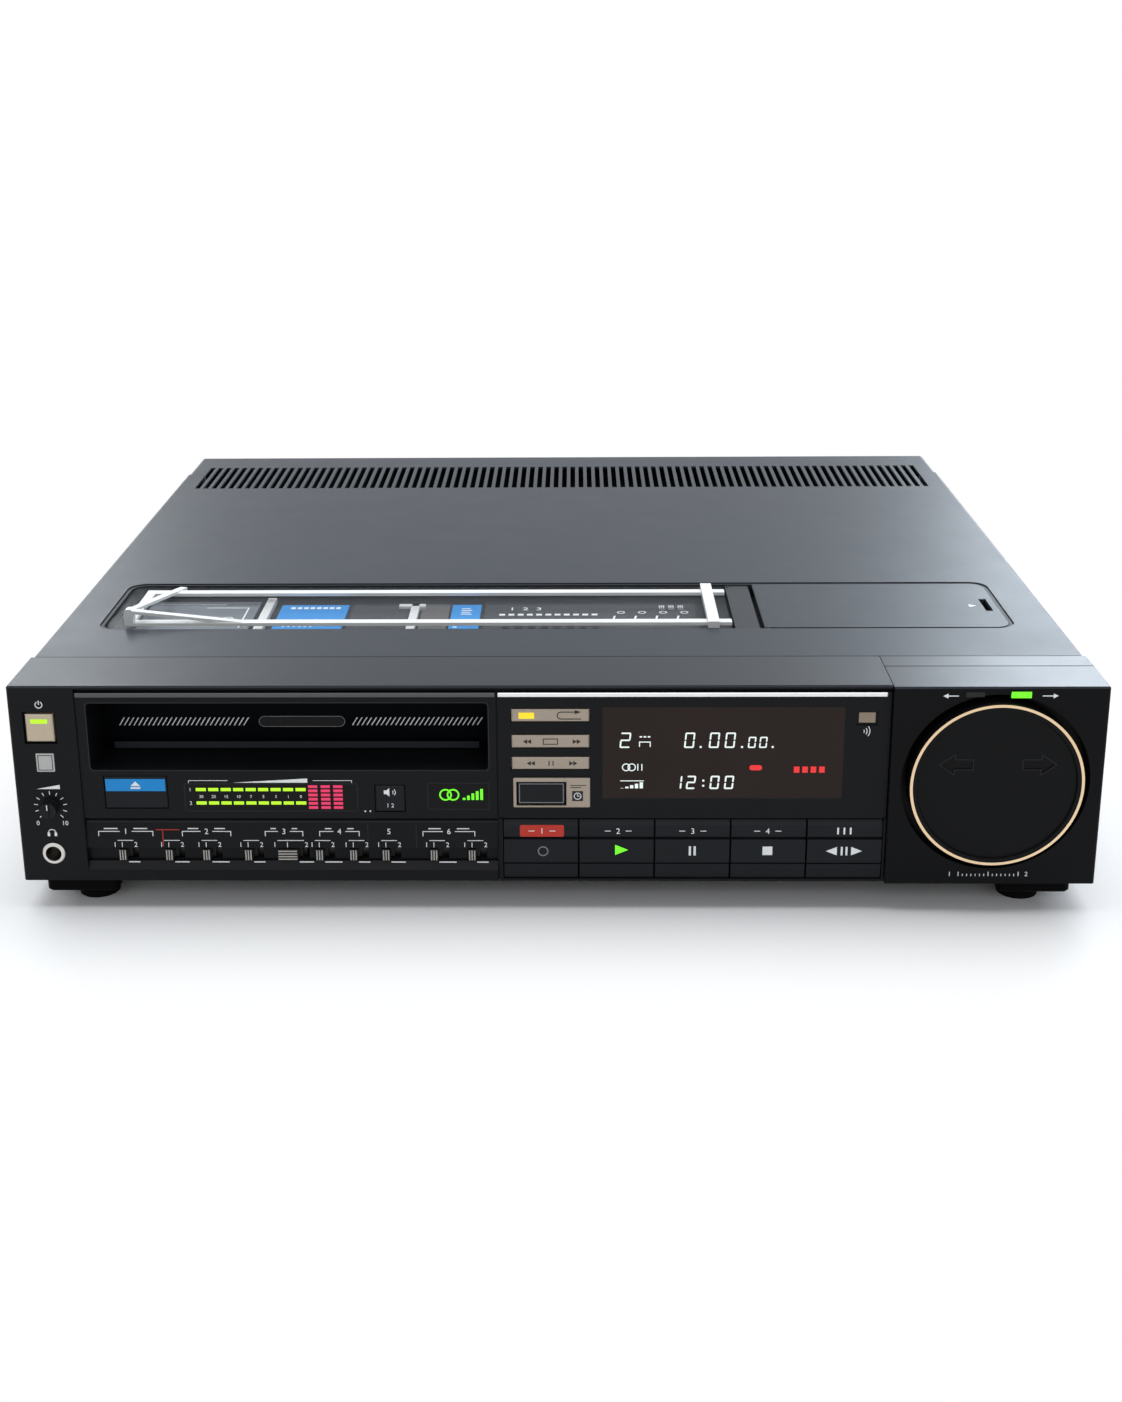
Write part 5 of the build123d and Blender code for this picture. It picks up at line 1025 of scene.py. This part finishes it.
# %% Ribs on the switch knobs
for number, across in enumerate(LEVER_PLACES):
    if number == WIDE_LEVER:
        ribs = row(4, spot(across, 70.9, 0.6), (0, 0, -1.15), (7.6, 0.3, 0.5), ridge_grey)
    else:
        ribs = row(3, spot(across - 1.02, 72.6, 0.6), (1.02, 0, 0), (0.46, 0.3, 4.3), ridge_grey)
    grow(f"lever_{number + 1}_ribs", [ribs], f"lever_{number + 1}")

# %% [markdown]
# ## Small champagne buttons
#
# Return and search buttons carry dark printed signs. The return button has a yellow lamp. The
# timer's bezel carries a dark square with a clock face.


# %% Signs on the small buttons
def two_arrows(marks, middle, down, towards, size=1.6):
    """Two triangles in a row that point left (-1) or right (1)."""
    for k in (0, 1):
        tip = middle + towards * size * (0.1 + k)
        tail = tip - towards * size
        marks.fill([(tip, down), (tail, down - size * 0.62), (tail, down + size * 0.62)])


bar("return_lamp", (-14.0, -7.9, 11.3, 13.9, 0.36, 0.9), 0.15, yellow_lamp, "tape_return_push")
bent_arrow = [(10.4, 14.0), (2.6, 14.0)] + arc((2.6, 12.55), 1.45, 270, -180, 10) + [(8.2, 11.1)]
back_sign = on(BUTTON_FACE).line(bent_arrow, 0.4)
back_sign.fill([(8.0, 10.2), (10.4, 11.1), (8.0, 12.0)])
back_sign.make("return_sign", dark_ink, "tape_return_push")
upper = on(BUTTON_FACE)
two_arrows(upper, -10.6, 23.5, -1)
two_arrows(upper, 8.6, 23.5, 1)
upper.outline(-4.4, 1.2, 22.4, 24.6, 0.35).make("search_upper_sign", dark_ink, "search_bar_upper_push")
lower = on(BUTTON_FACE)
two_arrows(lower, -9.2, 32.7, -1)
two_arrows(lower, 7.2, 32.7, 1)
lower.post(-2.2, 31.7, 33.7, 0.4).post(-0.6, 31.7, 33.7, 0.4)
lower.make("search_lower_sign", dark_ink, "search_bar_lower_push")
clock_place = (9.05, 46.45)
on(BEZEL_FACE).box(6.9, 11.2, 44.3, 48.6).make("timer_sign_ground", dark_ink)
clock = on(BEZEL_FACE, 0.1).ring(clock_place, 1.35, 0.28)
clock.line([(9.05, 45.5), clock_place, (9.8, 46.45)], 0.26).make("timer_sign", white_ink)
on(BEZEL_FACE).dash(6.2, 12.4, 41.9, 0.3).dash(6.2, 10.4, 42.8, 0.3).make("timer_bezel_marks", dark_ink)
on(BUTTON_FACE, 0.04).outline(-14.0, 3.4, 41.5, 49.5, 0.35).make("timer_inset", grey_ink, "timer_push")
print("small buttons done")

# %% [markdown]
# ## The display
#
# A fluorescent display draws each figure from seven segments with mitred ends and lets them lean a
# little. The helper holds which segments each figure lights.

# %% Seven-segment figures
SEGMENTS = {"0": "abcdef", "1": "bc", "2": "abged"}
LEAN = 0.09


def seven(marks, figure, left, top, width, height, stroke):
    """One figure; left and top are its corner in panel millimetres."""
    middle, gap, half = top + height / 2, stroke * 0.18, stroke / 2
    right, foot = left + width, top + height
    ends = {
        "a": ((left, top), (right, top)),
        "b": ((right, top), (right, middle)),
        "c": ((right, middle), (right, foot)),
        "d": ((left, foot), (right, foot)),
        "e": ((left, middle), (left, foot)),
        "f": ((left, top), (left, middle)),
        "g": ((left, middle), (right, middle)),
    }
    for segment in SEGMENTS[figure]:
        (u0, v0), (u1, v1) = ends[segment]
        if v0 == v1:
            level = v0 + (half if segment == "a" else -half if segment == "d" else 0)
            u0, u1 = u0 + gap, u1 - gap
            outline = [(u0, level), (u0 + half, level - half), (u1 - half, level - half)]
            outline += [(u1, level), (u1 - half, level + half), (u0 + half, level + half)]
        else:
            column_at = u0 + (half if u0 == left else -half)
            v0, v1 = v0 + gap, v1 - gap
            outline = [(column_at, v0), (column_at + half, v0 + half), (column_at + half, v1 - half)]
            outline += [(column_at, v1), (column_at - half, v1 - half), (column_at - half, v0 + half)]
        marks.fill([(u + (foot - v) * LEAN, v) for u, v in outline])


LARGE, SMALL, CLOCK = (3.9, 6.5, 0.62), (3.0, 4.7, 0.55), (3.6, 5.7, 0.66)
FIGURES = (
    ("2", 25.5, 19.8, (4.1, 6.5, 0.62)),
    ("0", 50.8, 19.8, LARGE), ("0", 60.5, 19.8, LARGE), ("0", 66.7, 19.8, LARGE),
    ("0", 75.8, 21.6, SMALL), ("0", 80.2, 21.6, SMALL),
    ("1", 46.4, 38.1, CLOCK), ("2", 51.8, 38.1, CLOCK), ("0", 61.1, 38.1, CLOCK), ("0", 66.8, 38.1, CLOCK),
)
counter = on(WINDOW_FACE)
for figure, left, top, size in FIGURES:
    seven(counter, figure, left, top, *size)
for down in (39.8, 42.0):
    counter.box(58.3, 59.1, down, down + 0.8)
for across in (57.0, 73.2, 85.2):
    counter.box(across, across + 0.8, 25.5, 26.3)
for across in (33.4, 35.0, 36.6):
    counter.box(across, across + 1.0, 21.3, 21.9)
counter.line([(33.4, 25.8), (33.4, 23.8), (37.6, 23.8), (37.6, 25.8)], 0.4)
counter.ring((28.2, 34.5), 1.45, 0.4).ring((30.4, 34.5), 1.45, 0.4)
counter.post(32.8, 33.1, 35.9, 0.4).post(34.4, 33.1, 35.9, 0.4)
for k in range(5):
    counter.box(26.0 + 1.9 * k, 27.3 + 1.9 * k, 43.4 - 0.62 * k, 43.5)
counter.dash(25.9, 35.2, 40.3, 0.35).make("display_figures", white_lamp)
red_signs = on(WINDOW_FACE).fill(pill(77.8, 80.6, 34.7, 1.1))
for k in range(4):
    red_signs.box(94.2 + 3.3 * k, 96.4 + 3.3 * k, 34.2, 36.8)
red_signs.make("display_red_signs", red_lamp)

# %% [markdown]
# ## Keys
#
# The five transport keys each have a label band on top and a sign on the middle band. The label
# bands get a plain number; the signs are the common ones for record, play, pause, stop and frame.

# %% Labels of the keys
KEY_MIDDLES = (-5.2, 25.2, 54.9, 84.7, 115.1)
plaque = on(LABEL_FACE, 0.03).fill(rounded(-13.3, 2.9, 59.8, 63.5, 0.7, 5))
plaque.make("record_plaque", red_ink, "key_record_push")
for number, (key, across) in enumerate(zip(keys, KEY_MIDDLES), start=1):
    label = on(LABEL_FACE)
    if key == "key_frame":
        for left in (114.7, 112.2, 117.2):
            label.box(left, left + 0.7, 60.2, 63.1)
    else:
        label.number(str(number), across, 62.9, 2.4)
        label.dash(across - 5.4, across - 3.0, 61.7, 0.3).dash(across + 3.0, across + 5.4, 61.7, 0.3)
    label.make(key + "_label", white_ink, key + "_push")

# %% Signs of the keys and the remote sensor
on(KEY_FACE).ring((-4.8, 70.4), 1.9, 0.45).make("record_sign", grey_ink, "key_record_push")
play = on(KEY_FACE).fill([(24.0, 67.6), (29.2, 69.8), (24.0, 72.0)])
play.make("play_sign", green_lamp, "key_play_push")
pause = on(KEY_FACE).box(53.4, 54.3, 68.2, 72.2).box(55.3, 56.2, 68.2, 72.2)
pause.make("pause_sign", white_ink, "key_pause_push")
on(KEY_FACE).box(82.8, 86.7, 68.3, 72.0).make("stop_sign", white_ink, "key_stop_push")
frame_sign = on(KEY_FACE).box(113.9, 114.7, 68.4, 72.1).box(115.8, 116.6, 68.4, 72.1)
for foot, tip in ((118.0, 122.4), (112.4, 108.0)):
    frame_sign.fill([(foot, 68.4), (tip, 70.25), (foot, 72.1)])
frame_sign.make("frame_sign", white_ink, "key_frame_push")
remote = on(WINDOW_FACE, 0.04)
for k in range(3):
    remote.line(arc((120.1, 19.3), 1.0 + 1.1 * k, -38, 76, 8), 0.3)
remote.make("remote_waves", white_ink)

# %% [markdown]
# ## Dial housing and dial
#
# The housing stands proud of the face. Two lamps over the dial show its direction, the left dark
# and the right lit; plain arrows stand where the words were, and a tick scale under the dial
# replaces its title. A fine line, lighter than the dial, paints the highlight on the edges of the
# two arrows that are engraved in the dial.

# %% Lamps, arrows and scale of the dial
bar("dial_lamp_dark", (159.2, 166.4, 2.1, 4.1, -2.25, -1.5), 0.15, dead_lamp)
bar("dial_lamp_lit", (176.6, 184.4, 1.9, 4.5, -2.25, -1.5), 0.15, green_lamp)
SCALE_FOOT = 80.2
over_dial = on(HOUSING_FACE)
over_dial.fill([(150.4, 3.6), (152.4, 2.6), (152.4, 4.6)]).dash(152.4, 156.4, 3.6, 0.4)
over_dial.fill([(194.8, 3.6), (192.8, 2.6), (192.8, 4.6)]).dash(188.6, 192.8, 3.6, 0.4)
for k in range(15):
    tall = 1.9 if k % 7 == 0 else 1.0
    over_dial.box(160.5 + 1.7 * k, 160.8 + 1.7 * k, SCALE_FOOT - tall, SCALE_FOOT)
over_dial.number("1", 157.2, SCALE_FOOT, 1.9).number("2", 187.6, SCALE_FOOT, 1.9)
over_dial.make("dial_signs", white_ink)
DIAL_ACROSS = 172.8
arrow = [(22.7, 31.3), (16.85, 27.1), (16.85, 29.2), (9.7, 29.2), (9.7, 33.4), (16.85, 33.4), (16.85, 35.5)]
# The arrow outlines are painted highlight on the engraved edges.
arrow_highlights = on(DIAL_FACE, 0.03)
for side in (-1, 1):
    arrow_highlights.line([(DIAL_ACROSS + side * u, v) for u, v in arrow], 0.32, closed=True)
arrow_highlights.make("dial_arrow_highlights", painted_arrow_highlight, "dial")

# %% [markdown]
# ## Under the clear cover
#
# The tray holds the tuning controls: two blue cards, dark cards with plain dashes, pale straps,
# a row of small thumb wheels and three slides beside them. Words and names on the real cards are
# replaced by dashes, ticks and figures. Each wheel is a short row of blocks, which show as its ribs.

# %% Cards and straps
TRAY_FLOOR = 6.4
BLUE_TOP, DARK_TOP = 5.0, 5.2
FLAT = {
    "card_left": (-124.2, -93.8, BLUE_TOP, 83.0, 119.6, blue_ink),
    "card_middle": (-47.0, -33.9, BLUE_TOP, 83.0, 119.6, blue_ink),
    "card_dark": (-32.0, 62.0, DARK_TOP, 80.0, 122.0, slate_card),
    "card_between": (-92.0, -66.0, 5.3, 82.0, 122.0, slate_card),
    "card_warm": (-60.5, -48.0, 5.3, 82.0, 122.0, warm_card),
    "card_far_left": (-184.0, -134.5, DARK_TOP, 82.0, 125.0, tray_grey),
    "strap_a": (-131.6, -127.6, 3.6, 80.0, 126.0, milky),
    "strap_b": (-65.4, -61.6, 4.0, 80.0, 118.0, milky),
    "strap_b_head": (-71.0, -59.0, 4.0, 114.5, 118.0, milky),
}
for name, (left, right, top, near, far, finish) in FLAT.items():
    bevel = 0.3 if finish == milky else 0.15
    bar(name, (left, right, top, TRAY_FLOOR, near, far), bevel, finish)

# %% Print on the cards
card_print = Marks(floor_at(BLUE_TOP), 0.04)
for k in range(8):
    card_print.dash(-119.6 + 2.9 * k, -117.6 + 2.9 * k, -114.8, 2.6)
for k in range(6):
    card_print.line([(-119.6 + 2.4 * k, -88.0), (-118.4 + 2.4 * k, -(94.5 + 2.2 * (k % 3)))], 0.8)
card_print.fill([(-103.4, -96.6), (-103.4, -88.8), (-99.6, -92.7)]).dash(-99.6, -95.8, -92.7, 1.1)
for k in range(4):
    card_print.dash(-42.6, -38.6 + 0.8 * (k % 2), -(113.5 - 2.6 * k), 1.0)
card_print.dash(-45.2, -41.8, -92.0, 1.4).dash(-45.2, -43.4, -87.6, 1.4)
card_print.make("card_print", white_ink)
dark_print = Marks(floor_at(DARK_TOP), 0.04)
for k in range(11):
    dark_print.dash(-25.5 + 4.1 * k, -22.9 + 4.1 * k, -105.4, 2.4)
for k in range(3):
    dark_print.number(str(k + 1), -20.0 + 6.0 * k, -111.8, 4.0)
for k in range(22):
    dark_print.dash(-27.0 + 3.9 * k, -24.2 + 3.9 * k, -98.2, 0.9)
for k in range(4):
    across = 24.0 + 9.4 * k
    dark_print.line([(across, -91.5), (across + 1.8, -103.5)], 0.9)
    dark_print.dash(across - 1.6, across + 4.2, -93.0 - 2.4 * (k % 2), 0.9)
    dark_print.ring((across + 4.6, -108.4), 1.5, 0.6)
dark_print.make("dark_card_print", white_ink)
far_print = Marks(floor_at(DARK_TOP), 0.04).dash(-180.0, -150.0, -121.0, 0.8)
far_print.line([(-158.0, -116.0), (-139.0, -116.0), (-139.0, -88.0)], 0.7)
far_print.ring((-146.0, -100.0), 2.4, 0.7).dash(-176.0, -149.0, -90.0, 0.6)
far_print.make("far_card_print", white_ink)

# %% Thumb wheels, slides and the mark on the lid
CONTROL_TOP, LID_TOP = 4.9, 0.2
wheels = [spot(-22.0 + 5.6 * k, CONTROL_TOP, 84.0) for k in range(8)]
grow("thumb_wheels", [row(6, start, (0, 1.3, 0), (3.0, 0.75, 1.5), lever_grey) for start in wheels])
slides = [spot(46.0 + 4.2 * k, CONTROL_TOP, 113.6) for k in range(3)]
grow("bay_slides", [row(3, start, (0.9, 0, 0), (0.55, 3.4, 1.6), milky) for start in slides])
lid_mark = Marks(floor_at(LID_TOP), 0.03).fill([(181.2, -103.4), (184.4, -101.7), (181.2, -100.0)])
lid_mark.make("lid_mark", white_ink, "lid")

# %% [markdown]
# ## The back
#
# The four audio and video sockets get coloured collars, plated sleeves and coloured insides, the
# two aerial sockets a thread, and the rating plate is a bare panel with a fine outline. Screws at
# the sides and the back get a head with a cross recess in place of the flat discs of the CAD
# model. A dark folded sheet stands behind the rear slots as painted shade: without it the light
# from behind shows through the slots on top.


# %% Socket colours and threads
def tube(name, middle, inner, outer, front, back, finish, steps=48):
    """A ring with straight sides whose axis runs front to back."""
    shape = bmesh.new()
    turns = [2 * math.pi * k / steps for k in range(steps)]
    loops = []
    for radius, depth in ((inner, front), (outer, front), (outer, back), (inner, back)):
        around = [(middle[0] + radius * math.cos(a), middle[1] + radius * math.sin(a)) for a in turns]
        loops.append([shape.verts.new(spot(u, v, depth)) for u, v in around])
    for first, second in zip(loops, loops[1:] + loops[:1]):
        for j in range(steps):
            after = (j + 1) % steps
            shape.faces.new((first[j], first[after], second[after], second[j]))
    return add_piece(name, shape, finish, "chassis")


SOCKET_DOWN, SOCKET_FRONT = 41.5, 398.0
yellow = moulded_plastic("yellow moulding", (0.7, 0.5, 0.03), rough=0.4, depth=0.000004)
white = moulded_plastic("white moulding", (0.6, 0.6, 0.58), depth=0.000004)
red = moulded_plastic("red moulding", (0.5, 0.03, 0.03), rough=0.4, depth=0.000004)
SOCKETS = ((-84.0, yellow), (-66.0, yellow), (-48.0, white), (-30.0, red))
for number, (across, moulding) in enumerate(SOCKETS, start=1):
    middle = (across, SOCKET_DOWN)
    tube(f"socket_collar_{number}", middle, 4.45, 6.2, REAR_FACE + 0.1, 390.2, moulding)
    tube(f"socket_sleeve_{number}", middle, 4.16, 4.42, 389.4, SOCKET_FRONT, plug_metal)
    tube(f"socket_inside_{number}", middle, 1.75, 3.1, 390.1, 396.4, moulding, 32)
threads = []
for across in (-166.0, -138.0):
    for k in range(8):
        centre = spot(across, 49.5, 390.8 + 0.85 * k)
        threads.append(ring(40, centre, 4.66, 0.0, 9.0, (0.46, 0.4, 0.78), plug_metal))
grow("aerial_threads", threads)

# %% Screws, rating plate, marks and a dark sheet of painted shade
QUARTER = math.pi / 2
SIDE = 213.8
heads = [
    screws(2, spot(-SIDE, 76.5, 118.0), (0, 200, 0), (0, -QUARTER, 0)),
    screws(2, spot(SIDE, 76.5, 118.0), (0, 200, 0), (0, QUARTER, 0)),
    screws(3, spot(-180.0, 5.1, 390.0), (180, 0, 0), (-QUARTER, 0, 0)),
]
screw_heads = grow("cover_screw_heads", heads)
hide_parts("cover_screws")
Marks(rear_face).box(-124.0, -64.0, 12.0, 29.0).make("rating_plate", badge_ink)
plate_lines = Marks(rear_face, 0.09).outline(-122.4, -65.6, 13.6, 27.4, 0.3)
for k in range(4):
    plate_lines.dash(-119.0, -84.0 - 7.0 * (k % 3), 16.4 + 2.8 * k, 0.35)
plate_lines.make("rating_plate_lines", dark_ink)
rear_marks = Marks(rear_face)
for across in (-30.0, -48.0, -66.0, -84.0):
    rear_marks.dash(across - 3.0, across + 3.0, 51.0, 0.5)
rear_marks.line([(-93.0, 51.0), (-93.0, 33.5), (-21.0, 33.5), (-21.0, 51.0)], 0.4)
rear_marks.dash(-174.0, -130.0, 58.5, 0.5).dash(152.0, 180.0, 73.0, 0.5)
rear_marks.make("rear_marks", white_ink)
# A dark sheet behind the rear slots, put there as painted shade.
SHADE_SHEET_MIDDLE, SHADE_SHEET_HALF = 58.0, 55.0
shade_sheet = Marks(lambda u, v, lift: spot(SHADE_SHEET_MIDDLE + lift, v, u), SHADE_SHEET_HALF)
folded = [(387.4, 12.0), (379.9, 12.0), (379.9, 66.0), (387.4, 66.0)]
shade_sheet.fill(folded + [(387.4, 65.2), (380.7, 65.2), (380.7, 12.8), (387.4, 12.8)])
shade_sheet.make("slot_shade_sheet", rear_black)
print("back done")

# %% [markdown]
# ## Stage, light and camera
#
# The floor is pale paper that keeps the shadow of the machine and turns to pure white a little way
# from it. The surroundings are pure white where the camera, a mirror image or a clear part sees
# them, and light the rest as a pale grey. The overhead panel models the cover, two low panels behind
# the machine draw the bright ends of the cover, and a large front panel fills the black face. The
# camera matches the photograph, in which the machine is turned by a little over a degree: its
# numbers come from about a hundred places on the machine in the picture.

# %% Floor and world
FLOOR_REACH = 6
PATCH_EDGE = 0.19
WHITE_FROM, WHITE_OVER = 0.005, 0.15
CAMERA_RAY, GLOSSY_RAY, TRANSMISSION_RAY = 0, 3, 6
scene = bpy.context.scene


def direct_sight(board):
    """One for rays from the camera, from a mirror image or through something clear."""
    kinds = (CAMERA_RAY, GLOSSY_RAY, TRANSMISSION_RAY)
    seen, glossy, through = (board.node("ShaderNodeLightPath", out=kind) for kind in kinds)
    return seen.math("MAXIMUM", glossy.math("MAXIMUM", through))


floor_mesh = bpy.data.meshes.new("floor")
floor_corners = [(u, v, 0) for u, v in square(-FLOOR_REACH, FLOOR_REACH, -FLOOR_REACH, FLOOR_REACH)]
floor_mesh.from_pydata(floor_corners, [], [(0, 1, 2, 3)])
floor = bpy.data.objects.new("floor", floor_mesh)
scene.collection.objects.link(floor)
paper = Finish("studio paper", Roughness=0.9, Specular_IOR_Level=0.0)
paper.colour((0.95, 0.95, 0.95, 1.0))
plain_white = paper.node("ShaderNodeEmission", {}, {"Color": (1, 1, 1, 1), "Strength": 1.0})
shaded = Wire(paper, paper.shader.outputs[0])
x, y = ((paper.axis(k).math("ABSOLUTE") - PATCH_EDGE).math("MAXIMUM", 0.0) for k in (0, 1))
distance = (x * x + y * y).math("SQRT")
far_off = ((distance - WHITE_FROM) / WHITE_OVER).math("ADD", clamp=True)
mix_sockets = {0: direct_sight(paper) * far_off, 1: shaded, 2: plain_white}
mixed = paper.node("ShaderNodeMixShader", {}, mix_sockets)
output = next(n for n in paper.tree.nodes if n.type == "OUTPUT_MATERIAL")
paper.feed(output.inputs["Surface"], mixed)
floor_mesh.materials.append(paper.material)

world = scene.world or bpy.data.worlds.new("studio")
scene.world = world
world.use_nodes = True
sky = Board(world.node_tree)
background = next(n for n in world.node_tree.nodes if n.type == "BACKGROUND")
sky_sockets = {0: direct_sight(sky), 6: (0.3, 0.31, 0.33, 1), 7: (1, 1, 1, 1)}
sky.feed(background.inputs["Color"], sky.node("ShaderNodeMix", {"data_type": "RGBA"}, sky_sockets, out=2))
print("floor and world set")


# %% Lamps and camera
def panel_light(name, place, aim, size, power, colour=(1.0, 1.0, 1.0)):
    lamp = bpy.data.lights.new(name, "AREA")
    lamp.shape = "RECTANGLE"
    lamp.size, lamp.size_y = size
    lamp.energy = power
    lamp.color = colour
    holder = bpy.data.objects.new(name, lamp)
    holder.location = place
    holder.rotation_euler = (Vector(aim) - Vector(place)).to_track_quat("-Z", "Y").to_euler()
    scene.collection.objects.link(holder)


panel_light("overhead", (0.0, 0.1, 1.5), (0, 0, 0), (2.2, 1.4), 26.0, (0.95, 0.98, 1.0))
panel_light("behind left", (-0.95, 1.5, 0.75), (-0.1, 0, 0.08), (0.7, 0.5), 9.5, (0.88, 0.94, 1.0))
panel_light("behind right", (0.85, 1.4, 0.72), (0.12, 0, 0.08), (0.7, 0.6), 19.0, (0.8, 0.9, 1.0))
panel_light("front", (0.0, -2.2, 1.2), (0, 0, 0.05), (2.6, 1.0), 11.0)

CAMERA_PLACE = (0.00836, FACE_Y - 0.66883, 0.34314)
CAMERA_ANGLES = (1.331, 17.568, -0.524)
lens = bpy.data.cameras.new("camera")
lens.sensor_fit = "AUTO"
lens.sensor_width = 36.0
lens.lens = 47.05
lens.shift_x = 0.01865
lens.shift_y = -0.0722
lens.clip_start = 0.05
camera = bpy.data.objects.new("camera", lens)
turn, tilt, roll = (math.radians(angle) for angle in CAMERA_ANGLES)
pose = Matrix.Rotation(turn, 4, "Z") @ Matrix.Rotation(QUARTER - tilt, 4, "X")
pose = pose @ Matrix.Rotation(roll, 4, "Z")
camera.location = CAMERA_PLACE
camera.rotation_euler = pose.to_euler()
scene.collection.objects.link(camera)
scene.camera = camera
scene.view_settings.view_transform = "Standard"
scene.view_settings.look = "None"
scene.view_settings.exposure = 0.0
scene.view_settings.gamma = 1.0
print("stage set")
